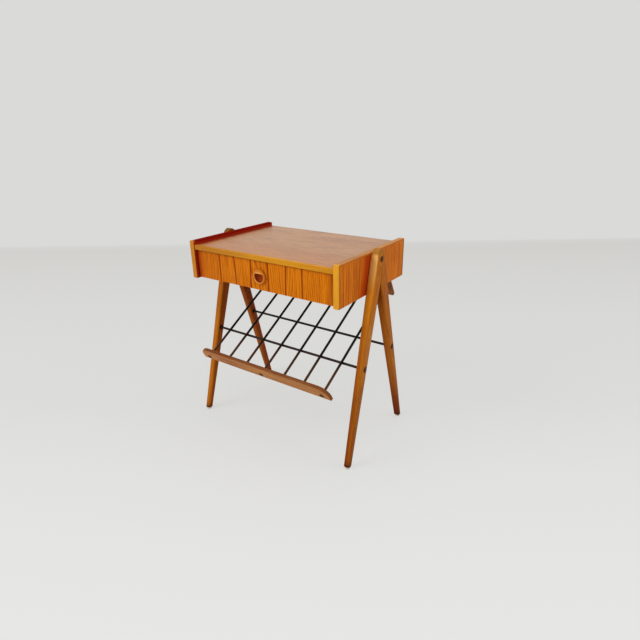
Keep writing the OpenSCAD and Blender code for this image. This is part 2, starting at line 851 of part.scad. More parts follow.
module drawer_bottom() {
    reach = drawer_in_x + drawer_groove;
    color(pale_wood) in_case() difference() {
        translate([-reach, front_back_y - front_housing, bottom_z])
            cube([2 * reach, drawer_l + front_housing, drawer_bottom_t]);
        drawer_pin_set(bottom_z - over, bottom_top_z + over, fit);
    }
}

// The pins that hold the bottom to the back, or their holes, between two heights
module drawer_pin_set(z0, z1, grow = 0) {
    for (i = [-1:1]) translate([i * pin_pitch, drawer_end_y - drawer_back_t / 2, z0])
        cylinder(h = z1 - z0, d = pin_d + 2 * grow, $fn = round_fn);
}

module drawer_pins() {
    color(dark_steel) in_case() drawer_pin_set(bottom_z, bottom_z + pin_l);
}

// Half outline of the turned knob: radius and height over its seat on the drawer front
module knob_profile() {
    translate([0, -knob_spigot_l]) square([knob_spigot_d / 2, knob_spigot_l + over]);
    square([knob_d / 2 - knob_edge_r, knob_out]);
    square([knob_d / 2, knob_out - knob_edge_r]);
    translate([knob_d / 2 - knob_edge_r, knob_out - knob_edge_r]) circle(r = knob_edge_r, $fn = hull_fn);
}

// Mouth of the finger hollow: round, and cut level under the lip
module hollow_mouth() {
    intersection() {
        circle(r = hollow_r, $fn = round_fn);
        translate([-hollow_r, -hollow_r]) square([2 * hollow_r, hollow_r + lip_up]);
    }
}

module drawer_knob() {
    floor_z = knob_out - hollow_depth;
    lip_z = knob_out - lip_t;
    color(lipping_wood) in_case() translate([0, front_y, knob_z]) rotate([90, 0, 0]) difference() {
        rotate_extrude($fn = 2 * round_fn) knob_profile();
        translate([0, 0, lip_z]) linear_extrude(height = lip_t + over) hollow_mouth();
        translate([0, 0, floor_z]) linear_extrude(height = lip_z - floor_z) circle(r = hollow_r, $fn = round_fn);
        translate([0, 0, -knob_spigot_l - over])
            cylinder(h = knob_screw_bite + over + fit, d = wood_shank_d + 2 * fit, $fn = round_fn);
    }
}

module knob_screw() {
    color(dark_steel) in_case() translate([0, front_back_y, knob_z]) rotate([-90, 0, 0])
        dome_screw(wood_head_d, wood_shank_d, front_t - knob_spigot_l + knob_screw_bite);
}

side_panel_left();
side_panel_right();
side_lipping_front_left();
side_lipping_front_right();
side_lipping_top_left();
side_lipping_top_right();
top_panel();
top_lipping();
back_panel();
case_dowels();
drawer_runner_left();
drawer_runner_right();
runner_screws();
leg_front_left();
leg_rear_left();
leg_front_right();
leg_rear_right();
leg_dowels();
apex_screws();
leg_screws();
leg_glides();
rod_front();
rod_rear();
rod_screws();
rack_wire_1();
rack_wire_2();
rack_wire_3();
rack_wire_4();
rack_wire_5();
rack_wire_6();
rack_wire_7();
rack_rail_front();
rack_rail_rear();
rail_screws();
rail_dowels();
drawer_front();
drawer_side_left();
drawer_side_right();
drawer_back();
drawer_bottom();
drawer_pins();
drawer_knob();
knob_screw();
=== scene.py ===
"""Looks of a teak nightstand with one drawer and a sloping magazine rack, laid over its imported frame.

The file is laid out as an add-on and is run as a script. Every size is in metres, in the frame's own axes:
X runs to the right, Y to the back and Z up, and the floor is at zero.
"""

import math

import bpy
import numpy as np
from mathutils import Matrix, Vector


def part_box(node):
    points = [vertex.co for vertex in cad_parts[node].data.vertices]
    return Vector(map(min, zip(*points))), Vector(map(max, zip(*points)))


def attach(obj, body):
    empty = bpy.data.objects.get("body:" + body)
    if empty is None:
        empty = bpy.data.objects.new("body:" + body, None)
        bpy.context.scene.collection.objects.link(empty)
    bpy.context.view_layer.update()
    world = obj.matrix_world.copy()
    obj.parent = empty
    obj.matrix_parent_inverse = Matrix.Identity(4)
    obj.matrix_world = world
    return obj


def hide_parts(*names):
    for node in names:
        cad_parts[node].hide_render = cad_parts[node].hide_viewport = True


bl_info = {
    "name": "Teak nightstand",
    "version": (1, 0, 0),
    "blender": (4, 5, 0),
    "location": "3D View > Sidebar > Nightstand",
    "description": "Dresses the frame of a teak nightstand in wood, steel wire and nylon",
    "category": "Object",
}

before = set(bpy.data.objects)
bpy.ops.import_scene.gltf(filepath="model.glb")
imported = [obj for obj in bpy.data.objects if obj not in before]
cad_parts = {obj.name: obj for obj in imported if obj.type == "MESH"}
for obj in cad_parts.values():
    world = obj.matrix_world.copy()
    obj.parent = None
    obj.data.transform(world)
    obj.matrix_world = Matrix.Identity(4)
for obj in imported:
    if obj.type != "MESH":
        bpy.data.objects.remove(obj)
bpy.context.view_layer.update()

MM = 0.001
TO_MM = 1000.0
QUARTER = math.pi / 2


def corners(*names):
    """Lowest and highest corner of the named nodes together."""
    boxes = np.array([[tuple(corner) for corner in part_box(name)] for name in names])
    return boxes[:, 0].min(axis=0), boxes[:, 1].max(axis=0)


CASE_LOW, CASE_HIGH = corners("side_panel_left", "side_panel_right", "side_lipping_front_left",
                              "side_lipping_top_left")
CASE_Y = (CASE_LOW[1] + CASE_HIGH[1]) / 2
CASE_INNER = CASE_HIGH[0] - 15 * MM

# The rack's own axes: the origin is the front rod's axis, Y runs up along the wires and Z is square to them
RACK_SLOPE = math.radians(30)
RACK_ORIGIN = np.mean(corners("rod_front"), axis=0)
RACK_AXES = np.array([[1, 0, 0], [0, math.cos(RACK_SLOPE), math.sin(RACK_SLOPE)],
                      [0, -math.sin(RACK_SLOPE), math.cos(RACK_SLOPE)]])


def rack_corners(name):
    """Lowest and highest corner of a node in the rack's own axes."""
    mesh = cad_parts[name].data
    places = np.empty(3 * len(mesh.vertices), dtype=np.float32)
    mesh.vertices.foreach_get("co", places)
    own = (places.reshape(-1, 3) - RACK_ORIGIN) @ RACK_AXES.T
    return own.min(axis=0), own.max(axis=0)


def from_rack(points):
    """Points in the rack's own axes, turned and moved to the frame's."""
    return RACK_ORIGIN + points @ RACK_AXES


def linear(code):
    """A colour's sRGB hex code as linear red, green and blue."""
    parts = np.array([int(code[i:i + 2], 16) for i in (1, 3, 5)]) / 255
    return tuple(np.where(parts <= 0.04045, parts / 12.92, ((parts + 0.055) / 1.055) ** 2.4))


def amount(name, default, description, **kind):
    """A number from zero up that a user can change."""
    return bpy.props.FloatProperty(name=name, description=description, default=default, min=0.0, **kind)


def length(name, default, description):
    """A size that a user can change."""
    return amount(name, default, description, precision=4, unit="LENGTH", subtype="DISTANCE")


def colour(name, code, description):
    """A colour that a user can change."""
    return bpy.props.FloatVectorProperty(name=name, description=description, default=linear(code), min=0.0,
                                         max=1.0, size=3, subtype="COLOR")


class LegSizes(bpy.types.PropertyGroup):
    """Sizes of the four legs"""

    apex_over: length("Apex over case", 0.0059, "Height of the apex over the case's side panels")
    apex_front: length("Apex to the front", 0.0025, "Distance of the mitre before the case's middle")
    apex_rise: length("Rise of the apex", 0.0175, "Height of the apex's rounded top")
    foot_spread: length("Spread of the feet", 0.141, "Distance of each foot from the mitre, along the depth")
    cross_drop: length("Crossing below the apex", 0.021, "Depth below the apex where the legs' middles meet")
    foot_out: length("Foot out", 0.017, "Distance of the feet's middle from the case")
    apex_out: length("Apex out", 0.008, "Distance of the apex's middle from the case")
    foot_width: length("Foot width", 0.0165, "Width of a leg at the floor")
    foot_depth: length("Foot depth", 0.015, "Depth of a leg at the floor")
    top_width: length("Top width", 0.022, "Width of a leg at the apex")
    top_depth: length("Top depth", 0.037, "Depth of a leg at the apex")
    edge_radius: length("Edge radius", 0.005, "Radius of a leg's long edges")


class RackSizes(bpy.types.PropertyGroup):
    """Sizes of the magazine rack's pieces"""

    rail_end: length("Rail end radius", 0.030, "Radius of the front rail's upper corners")
    rail_edge: length("Rail edge radius", 0.0025, "Radius of the front rail's long edges")
    rear_edge: length("Rear rail edge radius", 0.0012, "Radius of the rear rail's edges")
    bead: length("Weld bead", 0.0024, "Half width of the weld beads between the wires and the front rod")


class DrawerSizes(bpy.types.PropertyGroup):
    """Sizes of the drawer's pieces"""

    board_edge: length("Board edge radius", 0.001, "Radius of the edges of the drawer's inner boards")
    knob_edge: length("Knob edge radius", 0.003, "Radius of the knob's rim")
    hollow: length("Hollow radius", 0.014, "Radius of the knob's finger hollow")
    lip: length("Lip height", 0.008, "Height of the lip's level edge over the knob's middle")
    lip_thick: length("Lip thickness", 0.0045, "Thickness of the lip over the hollow")
    hollow_depth: length("Hollow depth", 0.011, "Depth of the hollow from the knob's face")
    spigot: length("Spigot radius", 0.0159, "Radius of the knob's spigot in the drawer front")


class FinishColours(bpy.types.PropertyGroup):
    """Colours of the finishes"""

    top: colour("Top", "#AE7A4E", "Veneer of the top")
    case: colour("Case", "#CC6C06", "Veneer of the case's outer faces")
    inner: colour("Inner faces", "#9C1206", "Unfaded veneer of the case's inner faces")
    drawer: colour("Drawer front", "#C86C04", "Veneer of the drawer front")
    lipping: colour("Top's lipping", "#CE8A1C", "Solid lipping of the top")
    front_lipping: colour("Front lipping, right", "#E09C28", "Solid lipping on the right panel's front edge")
    left_lipping: colour("Front lipping, left", "#C27E24", "Solid lipping on the left panel's front edge")
    edge_lipping: colour("Upper lipping", "#B98048", "Solid lipping on the right panel's upper edge")
    stained: colour("Stained edge", "#7E160C", "Red stain of the left panel's upper edge")
    legs: colour("Legs", "#B86A12", "Solid teak of the legs")
    # Painted shade of the legs
    shaded_teak: colour("Unfaded teak", "#661602", "Dark red brown of the legs where little light reached them")
    # Painted highlight on the right front leg's fore face, near the apex
    leg_highlight: colour("Bleached teak", "#FFC670", "Pale tan of the legs where the light was strongest")
    # Painted light on the right front leg's fore face under the case
    leg_painted_light: colour("Sunlit teak", "#F3971E", "Bright orange of the right leg's fore face under the case")
    rail: colour("Front rail", "#BC7E48", "Solid teak of the front rail")
    knob: colour("Knob", "#CA761E", "Turned teak of the knob")
    # Pale of the knob's lip: worn round the mouth, with painted highlights on the lip's upper edge and lower
    # left
    worn: colour("Worn teak", "#FFB45E", "Teak of the knob's lip, rubbed pale by fingers")
    # Painted shade: the dark red of the knob's hollow and rim
    hollow: colour("Knob's hollow", "#98340E", "Dark red teak of the knob's hollow")
    cap: colour("Apex, right", "#A0641A", "Olive brown of the right apex's rounded top")
    cap_shaded: colour("Apex, left", "#74501E", "Dark olive of the left apex's rounded top")
    # Painted shade of the legs' outer faces
    outer_face_shade: colour("Aged teak", "#8A6840", "Grey brown of the legs' outer faces")
    # Oil and dirt, with painted shade, round the screw heads, and the darker feet
    grime_and_shade: colour("Grime", "#2E1002", "Dark oil and dirt round the screw heads and in the joints")
    beech: colour("Beech", "#D8B68A", "Planed beech inside the case")
    ply: colour("Plywood", "#CFAE84", "Birch plywood of the drawer's bottom")
    back: colour("Back", "#93653A", "Stained birch plywood of the back")
    enamel: colour("Wire enamel", "#0C0603", "Black enamel of the wires and rods")
    steel: colour("Screw steel", "#643818", "Burnished steel of the screws")
    nylon: colour("Glides", "#F0E6D8", "Moulded nylon of the glides")


class StageLight(bpy.types.PropertyGroup):
    """Colours of the floor and the backdrop, and the strength of the lamps"""

    floor_near: colour("Floor, near", "#E6E6E4", "Colour of the floor before the object")
    floor_middle: colour("Floor, middle", "#DCDCDA", "Colour of the floor under the object")
    floor_far: colour("Floor, far", "#D5D4D1", "Colour of the floor behind the object")
    backdrop: colour("Backdrop", "#DADAD8", "Colour behind the floor")
    calm: amount("Calm floor", 0.78, "Share of the floor's colour that no shadow dims", max=1.0,
                 subtype="FACTOR")
    sky: amount("Room light", 0.5, "Strength of the even light of the room")
    key: amount("Key lamp", 105.0, "Power of the large lamp in front, on the left", unit="POWER")
    side: amount("Side lamp", 36.0, "Power of the large lamp on the right, behind", unit="POWER")
    overhead: amount("Overhead lamp", 20.0, "Power of the lamp overhead", unit="POWER")


# Surfaces


SMOOTH_ANGLE = math.radians(35)


def corner_angles(steps=6):
    """The angle a of each point round a rectangle with round corners: a quarter turn for each corner."""
    return (np.arange(4)[:, None] * QUARTER + np.linspace(0, QUARTER, steps + 1)).ravel()


def rounded_rectangle(half_x, half_y, radius, steps=6):
    """Points round a rectangle with round corners, anticlockwise. Round each corner they are its centre
    plus the radius times (cos a, sin a), as a runs through that corner's quarter turn. The sizes are arrays
    with a value for each row of the surface, and the radius may have a column for each corner."""
    half_x, half_y = half_x[:, None], half_y[:, None]
    radius = radius[:, None] if radius.ndim == 1 else np.repeat(radius, steps + 1, axis=1)
    angle = corner_angles(steps)
    sign_x = np.repeat([1, -1, -1, 1], steps + 1)
    sign_y = np.repeat([1, 1, -1, -1], steps + 1)
    x = sign_x * (half_x - radius) + radius * np.cos(angle)
    y = sign_y * (half_y - radius) + radius * np.sin(angle)
    return np.stack([x, y], axis=-1)


def surface(name, grids, material, grain=None, stain=None):
    """One mesh of one or more grids of points. In a grid, row i and column j make a quad with the next row
    and the next column, the columns run round the piece, and a polygon fills the first and the last row.
    Grain is each point's place in millimetres in the wood, with X along the grain, and stain is the colour,
    with painted light and shade among it, laid over it at each point times its share, with the share itself."""
    faces, start = [], 0
    for points in grids:
        rows, columns = points.shape[:2]
        i = np.arange(rows - 1)[:, None] * columns + start
        j = np.arange(columns)[None, :]
        k = (j + 1) % columns
        faces += np.stack([i + j, i + k, i + columns + k, i + columns + j], axis=-1).reshape(-1, 4).tolist()
        faces.append(list(range(start + columns - 1, start - 1, -1)))
        faces.append(list(range(start + (rows - 1) * columns, start + rows * columns)))
        start += rows * columns
    mesh = bpy.data.meshes.new(name)
    mesh.from_pydata(np.concatenate([points.reshape(-1, 3) for points in grids]), [], faces)
    layers = [] if grain is None else [("grain", "FLOAT_VECTOR", "vector", grain)]
    if stain is not None:
        layers += [("stain", "FLOAT_VECTOR", "vector", stain[..., :3]),
                   ("stain_share", "FLOAT", "value", stain[..., 3])]
    for key, kind, field, values in layers:
        layer = mesh.attributes.new(key, kind, "POINT")
        layer.data.foreach_set(field, values.reshape(-1).astype(np.float32))
    mesh.validate()
    mesh.shade_smooth()
    mesh.set_sharp_from_angle(angle=SMOOTH_ANGLE)
    mesh.materials.append(material)
    piece = bpy.data.objects.new(name, mesh)
    bpy.context.scene.collection.objects.link(piece)
    return piece


def lay(stain, share, tint):
    """A stain with one more tint over it: s (1 - a) + a (tint, 1) at each point, where a is the share."""
    share = np.broadcast_to(share, stain.shape[:2])[..., None]
    return stain * (1 - share) + share * np.array([*tint, 1.0])


def ease(values, start, end):
    """Zero up to the start, one from the end on, and 3 t squared - 2 t cubed between them."""
    t = np.clip((values - start) / (end - start), 0, 1)
    return t * t * (3 - 2 * t)


def turned(profile, sides=32):
    """A profile turned about Z: each radius r and height h give a row of points (r cos a, r sin a, h)."""
    radius, height = np.asarray(profile, dtype=float).T[..., None]
    angle = np.linspace(0, 2 * math.pi, sides, endpoint=False)
    return np.stack([radius * np.cos(angle), radius * np.sin(angle), height + 0 * angle], axis=-1)


def bar(start, end, radius, sides=24):
    """A round bar from start to end, which isn't upright: the ring (r cos a, r sin a) carried along the
    line, with broken edges."""
    bevel = 0.4 * MM
    reach = np.linalg.norm(end - start)
    along = (end - start) / reach
    across = np.cross(along, [0, 0, 1])
    across /= np.linalg.norm(across)
    third = np.cross(along, across)
    profile = [(radius - bevel, 0), (radius, bevel), (radius, reach - bevel), (radius - bevel, reach)]
    return start + turned(profile, sides) @ np.array([across, third, along])


def slab(low, high, radii, edge):
    """A board whose outline lies in X and Z and whose thickness runs along Y. The outline is a rectangle
    with a radius for each corner. Through each face's rounding it is drawn in by e (1 - sin a), at a depth
    of e (1 - cos a), as a runs through a quarter turn. The radii start at the upper right corner."""
    turn = np.linspace(0, QUARTER, 7)
    inset = edge * (1 - np.sin(turn))
    depth = edge * (1 - np.cos(turn))
    inset = np.concatenate([inset, inset[::-1]])
    y = np.concatenate([low[1] + depth, high[1] - depth[::-1]])
    radius = np.maximum(np.asarray(radii)[None, :] - inset[:, None], 0.1 * MM)
    half_x = (high[0] - low[0]) / 2 - inset
    half_z = (high[2] - low[2]) / 2 - inset
    outline = rounded_rectangle(half_x, half_z, radius, 8)[:, ::-1]
    x = outline[..., 0] + (low[0] + high[0]) / 2
    z = outline[..., 1] + (low[2] + high[2]) / 2
    return np.stack([x, np.broadcast_to(y[:, None], x.shape), z], axis=-1)


def settle(piece, body, slot, *nodes):
    """The piece rides on a body and stands for the named nodes, if any. The slot is not used."""
    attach(piece, body)
    if nodes:
        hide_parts(*nodes)


def dress(material, *names):
    """Gives nodes of the frame a material."""
    for name in names:
        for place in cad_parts[name].material_slots:
            place.material = material


# Finishes


# Scales of the noise per millimetre along, beside and below the grain. The slow bends are some 170 mm long,
# and the streaks 1 to 2 mm wide and 40 mm long. Real pores are 0.2 mm wide, so they're drawn 0.6 mm wide
# and 10 mm long.
BEND_SCALE = (0.006, 0.022, 0.022)
STREAK_SCALE = (0.016, 0.42, 0.42)
PORE_SCALE = (0.07, 1.1, 1.1)
# How far the rings bend aside in millimetres, and how far apart the wave texture draws them at a scale of 1
BEND_REACH = (0, 14, 14)
WAVE_STEP = 0.314159
GLUE = "#7A2200"
# Further than any two points of a piece, in millimetres
FAR_OFF = 1000.0


def palette():
    """The colours of the finishes as the user has set them."""
    return bpy.context.scene.nightstand_colours


def add(tree, kind, *values, **named):
    """Adds a node. The values go to its first sockets in turn. A named one goes to the socket of that name
    if it starts with a capital, with a space for each underscore, and else it is a setting. A socket takes
    a plain value, an output to link, or a node, whose first output in use is linked."""
    node = tree.nodes.new("ShaderNode" + kind)
    for key in [key for key in named if key.islower()]:
        setattr(node, key, named.pop(key))
    for key, value in (*enumerate(values), *named.items()):
        key = key.replace("_", " ") if isinstance(key, str) else key
        if isinstance(value, bpy.types.Node):
            value = next(output for output in value.outputs if output.enabled)
        if isinstance(value, bpy.types.NodeSocket):
            tree.links.new(value, node.inputs[key])
        else:
            node.inputs[key].default_value = value
    return node


def emptied(holder):
    """The node tree of a new material or world, without the nodes it comes with."""
    holder.use_nodes = True
    holder.node_tree.nodes.clear()
    return holder.node_tree


def paint(tree, under, tint, share, value, start, end):
    """Lays a tint over a colour: by its share up to the start, and eased to nothing at the end."""
    eased = add(tree, "MapRange", value, start, end, share, 0.0, interpolation_type="SMOOTHSTEP")
    tint = linear(tint) if isinstance(tint, str) else tint
    return add(tree, "Mix", Factor=eased, A=under, B=(*tint, 1), data_type="RGBA")


def tone(base, value, warmth=0.0):
    """A colour made lighter or darker by a factor, and redder by a share."""
    red, green, blue = (min(1.0, part * value) for part in base)
    return (red, green * (1 - warmth), blue * (1 - warmth), 1.0)


def axes(tree, place=None):
    """The X, Y and Z of a place, or of the object's own coordinates in metres."""
    place = add(tree, "TexCoord").outputs["Object"] if place is None else place
    parts = add(tree, "SeparateXYZ", place)
    return [parts.outputs[axis] for axis in "XYZ"]


def outwards(tree):
    """The distance to the right or left of the case's middle."""
    return add(tree, "Math", axes(tree)[0], operation="ABSOLUTE")


def object_place(tree, turn=(0, 0, 0), shift=(0, 0, 0)):
    """Object coordinates in millimetres, turned so that the grain runs along X."""
    source = add(tree, "TexCoord").outputs["Object"]
    turn = tuple(math.radians(part) for part in turn)
    return add(tree, "Mapping", source, shift, turn, (TO_MM, TO_MM, TO_MM))


def grain_place(tree):
    """The piece's own place in the wood, in millimetres, with the grain along X."""
    return add(tree, "Attribute", attribute_name="grain").outputs["Vector"]


def wood_tone(tree, place, ring, pith, tilt, figure, streak, patch):
    """A number about 0.5 that follows the wood: sawn growth rings of a width in millimetres about a pith
    that lies to the side and leans by a tilt in degrees, bent by slow noise, with fine streaks along the
    grain and broad patches. The results are the tone and the streaks."""
    bend = add(tree, "VectorMath", place, BEND_SCALE, operation="MULTIPLY")
    slow = add(tree, "TexNoise", bend, Scale=1.0, Detail=2.0)
    from_pith = add(tree, "Mapping", place, pith, (0, math.radians(tilt), 0))
    lean = add(tree, "VectorMath", slow.outputs["Color"], BEND_REACH, from_pith, operation="MULTIPLY_ADD")
    rings = add(tree, "TexWave", lean, Scale=WAVE_STEP / ring, Distortion=0.6, Detail=2.0, Detail_Scale=0.5,
                wave_type="RINGS", rings_direction="X", wave_profile="SAW")
    long_way = add(tree, "VectorMath", place, STREAK_SCALE, operation="MULTIPLY")
    streaks = add(tree, "TexNoise", long_way, Scale=1.0, Detail=4.0, Roughness=0.62)
    whole = add(tree, "Math", rings.outputs["Fac"], figure, 0.5 - figure / 2, operation="MULTIPLY_ADD")
    for noise, share in ((streaks, streak), (slow, patch)):
        centred = add(tree, "Math", noise, -0.5, operation="ADD")
        whole = add(tree, "Math", centred, share, whole, operation="MULTIPLY_ADD")
    return whole, streaks


def strips(tree, place, laid, line):
    """Veneer laid in strips. Laid holds one row for each strip but the first: the joint's place along Y in
    millimetres of the grain's own axes, its slant, how far the strip's wood lies along, beside and below
    that of the strip before, and how much paler its tone is. The results are the place in the wood, the
    tone to add and the share of the glue, which shows as a dark line at each joint."""
    x, y, _ = axes(tree, place)
    shade, seams = 0.0, 0.0
    for joint, slant, shift, paler in laid:
        edge = add(tree, "Math", x, slant, joint, operation="MULTIPLY_ADD")
        past = add(tree, "Math", y, edge, operation="GREATER_THAN")
        apart = add(tree, "Math", y, edge, operation="SUBTRACT")
        away = add(tree, "Math", apart, operation="ABSOLUTE")
        near = add(tree, "MapRange", away, line * 0.35, line, 0.9, 0.0)
        place = add(tree, "VectorMath", past, shift, place, operation="MULTIPLY_ADD")
        shade = add(tree, "Math", past, paler, shade, operation="MULTIPLY_ADD")
        seams = add(tree, "Math", near, seams, operation="MAXIMUM")
    return place, shade, seams


def wood(name, base, place_of, ring, pith, figure, streak, patch, contrast, gloss, tilt=2.0, level=0.05,
         laid=None, line=0.0, over=None):
    """Sawn, planed and oiled wood. Rings, streaks and patches drive a ramp from dark late wood to pale
    early wood, dark pores lie over it, and both give it a low relief and an uneven silky sheen. Laid and
    line describe the strips of a veneer, and over is a function that lays something over the colour, such
    as a stain."""
    material = bpy.data.materials.new(name)
    tree = emptied(material)
    place, shade, seams = place_of(tree), 0.0, None
    if laid:
        place, shade, seams = strips(tree, place, laid, line)
    value, streaks = wood_tone(tree, place, ring, pith, tilt, figure, streak, patch)
    ramp = add(tree, "ValToRGB", add(tree, "Math", value, shade, operation="ADD"))
    stops = ramp.color_ramp.elements
    stops[0].position, stops[0].color = 0.12, tone(base, 1 - 0.50 * contrast, 0.30 * contrast)
    stops[1].position, stops[1].color = 0.92, tone(base, 1 + 0.30 * contrast, -0.10 * contrast)
    stops.new(0.5).color = tone(base, 1.0)
    stretched = add(tree, "VectorMath", place, PORE_SCALE, operation="MULTIPLY")
    dashes = add(tree, "TexNoise", stretched, Scale=1.0, Detail=1.0)
    pores = add(tree, "MapRange", dashes, 0.60, 0.74)
    soft = add(tree, "Math", pores, 0.55 * contrast, operation="MULTIPLY")
    result = add(tree, "Mix", Factor=soft, A=ramp, B=tone(base, 0.50, 0.34), data_type="RGBA")
    if laid:
        result = add(tree, "Mix", Factor=seams, A=result, B=(*linear(GLUE), 1), data_type="RGBA")
    if over:
        result = over(tree, result)
    relief = add(tree, "Math", pores, -0.8, streaks, operation="MULTIPLY_ADD")
    bump = add(tree, "Bump", Height=relief, Strength=0.25, Distance=0.2 * MM)
    sheen = add(tree, "MapRange", streaks, 0.3, 0.7, gloss - 0.07, gloss + 0.09)
    shader = add(tree, "BsdfPrincipled", Base_Color=result, Normal=bump, Roughness=sheen,
                 Specular_IOR_Level=level)
    add(tree, "OutputMaterial", shader)
    return material


def case_marks_and_shade(tree, result):
    """Lays over the case's veneer a painted red shadow of the legs before the front legs, a browner tone
    behind them, a painted line of shade along the rear edges, and the inner faces' deep red, never faded."""
    _, y, z = axes(tree)
    # The painted shadow's front edge lies 52 mm before the middle at the panels' upper edge, and leans with
    # the leg
    slant = -0.20
    front = CASE_Y - 52 * MM + slant * CASE_HIGH[2]
    lean = add(tree, "Math", z, slant, y, operation="MULTIPLY_ADD")
    before = add(tree, "Math", y, CASE_Y - 12 * MM, operation="LESS_THAN")
    red = add(tree, "Math", before, 0.82, operation="MULTIPLY")
    brown = add(tree, "Math", before, -0.3, 0.3, operation="MULTIPLY_ADD")
    outer = paint(tree, result, "#A02408", red, lean, front + 20 * MM, front - 14 * MM)
    outer = paint(tree, outer, "#86481A", brown, y, CASE_Y + 30 * MM, CASE_Y + 110 * MM)
    # A painted line of shade along the rear edges
    outer = paint(tree, outer, "#4A2410", 0.75, y, CASE_HIGH[1] - 3 * MM, CASE_HIGH[1] - 7 * MM)
    inner = add(tree, "Mix", Factor=0.95, A=result, B=(*palette().inner, 1), data_type="RGBA")
    inside = add(tree, "Math", outwards(tree), CASE_INNER + 0.8 * MM, operation="LESS_THAN")
    return add(tree, "Mix", Factor=inside, A=outer, B=inner, data_type="RGBA")


def drawer_painted_shade(tree, result):
    """Lays painted shade over the drawer front: red at its ends, where the side panels shade it, and a dark
    line along its upper edge, the painted shadow under the top's lipping."""
    x, _, z = axes(tree)
    low, high = corners("drawer_front")
    result = paint(tree, result, "#A4320E", 0.8, x, low[0] + 2 * MM, low[0] + 24 * MM)
    result = paint(tree, result, "#AC4A0A", 0.25, x, low[0] + 10 * MM, low[0] + 80 * MM)
    result = paint(tree, result, "#843008", 0.6, x, high[0] - 1 * MM, high[0] - 26 * MM)
    return paint(tree, result, "#6A2002", 0.6, z, high[2] - 1 * MM, high[2] - 4 * MM)


def lipping_end(tree, result):
    """Darkens the left half of the top's lipping."""
    return paint(tree, result, "#9A5A24", 0.6, axes(tree)[0], CASE_LOW[0] + 10 * MM, 90 * MM)


def lipping_sides(tree, result):
    """Shows the case's veneer on the outer sides of a side panel's lipping, which it covers, and its
    deep red on the inner sides, so that only the lipping's own edge is bare."""
    out, face = outwards(tree), CASE_HIGH[0]
    result = paint(tree, result, tone(palette().case, 0.78)[:3], 0.9, out, face - 0.2 * MM, face - 0.6 * MM)
    return paint(tree, result, palette().inner, 0.9, out, CASE_INNER + 0.2 * MM, CASE_INNER + 0.8 * MM)


def top_marks_and_shade(tree, result):
    """Lays a warmer tone along the top's front, and along its sides a red strip of painted shade and painted
    reflection of the raised panels' inner faces."""
    front = CASE_LOW[1]
    result = paint(tree, result, "#B87030", 0.5, axes(tree)[1], front + 30 * MM, front + 150 * MM)
    return paint(tree, result, "#7A1C0C", 0.70, outwards(tree), CASE_INNER - 5 * MM, CASE_INNER - 20 * MM)


def top_veneer():
    """Teak veneer, sliced and laid along X, with a silky oil finish that mirrors the room at a low angle."""
    return wood("teak_veneer_top", palette().top, lambda tree: object_place(tree, shift=(0, 35, 0)),
                ring=6.0, pith=(0, 330, 40), figure=0.30, streak=2.6, patch=0.7, contrast=0.78, gloss=0.30,
                level=0.5, over=top_marks_and_shade)


def case_veneer():
    """Teak veneer, sliced upright and oiled: orange brown outside and deep red where no light reached it.
    The joints' places are counted from the case's middle."""
    laid = [(-139, 0, (300, 20, 0), -0.05), (-118, 0, (250, -30, 8), 0.08), (-99, 0, (410, 35, -6), -0.10),
            (-72, 0, (190, 10, 0), 0.02), (-10, 0, (330, 25, 5), 0.10), (52, 0, (260, -20, 0), -0.04),
            (88, 0, (350, 30, 0), -0.08), (105, 0, (220, -15, 7), 0.07), (131, 0, (280, 20, 0), -0.03)]
    return wood("teak_veneer_case", palette().case, lambda tree: object_place(tree, (0, 90, 0)), ring=4.4,
                pith=(0, 440, 30), figure=0.50, streak=1.9, patch=0.5, contrast=0.9, gloss=0.42,
                laid=[(joint + CASE_Y * TO_MM, *rest) for joint, *rest in laid], line=0.9, over=case_marks_and_shade)


def upright_front(tree):
    """Grain upright and Y to the right, measured in millimetres from the drawer front's middle."""
    middle = np.mean(corners("drawer_front"), axis=0) * TO_MM
    upright = object_place(tree, (0, 90, 0), (-middle[2], 0, 0))
    return add(tree, "Mapping", upright, (0, 0, 0), (QUARTER, 0, 0))


def drawer_veneer():
    """Teak veneer of the drawer front, sliced upright and laid in seven strips, warm orange and oiled."""
    # The strips' tones differ at random, and grow paler towards the right as a painted gradient of the light
    laid = [(-134.7, 0.02, (300, -817, 10), 0.08), (-82.0, -0.06, (410, 599, 0), -0.03),
            (-30.0, 0.03, (520, -292, -14), 0.02), (25.0, 0.0, (380, 60, 10), 0.02),
            (78.0, 0.04, (450, -483, 0), 0.06), (125.7, -0.015, (330, 522, 0), -0.04)]
    return wood("teak_veneer_drawer", palette().drawer, upright_front, ring=4.6, pith=(0, 573, 34), tilt=4.0,
                figure=0.58, streak=2.1, patch=0.35, contrast=0.95, gloss=0.42, laid=laid, line=3.0,
                over=drawer_painted_shade)


def lipping_wood(name, turn, base, over=None, level=0.05):
    """Solid teak lippings, planed and worn pale, ochre with a faint grain."""
    return wood(name, base, lambda tree: object_place(tree, turn, (210, 30, 10)), ring=3.0,
                pith=(0, 120, 60), figure=0.26, streak=0.9, patch=0.5, contrast=0.6, gloss=0.42, level=level,
                over=over)


def stained(tree, result):
    """Lays each point's own stain over the wood, which on the legs, the knob and the rails holds painted
    light and shade as well: the wood times what the stain leaves clear, plus the stain, which already
    holds its share."""
    tint = add(tree, "Attribute", attribute_name="stain").outputs["Vector"]
    share = add(tree, "Attribute", attribute_name="stain_share").outputs["Fac"]
    clear = add(tree, "Math", 1.0, share, operation="SUBTRACT")
    return add(tree, "VectorMath", result, clear, tint, operation="MULTIPLY_ADD")


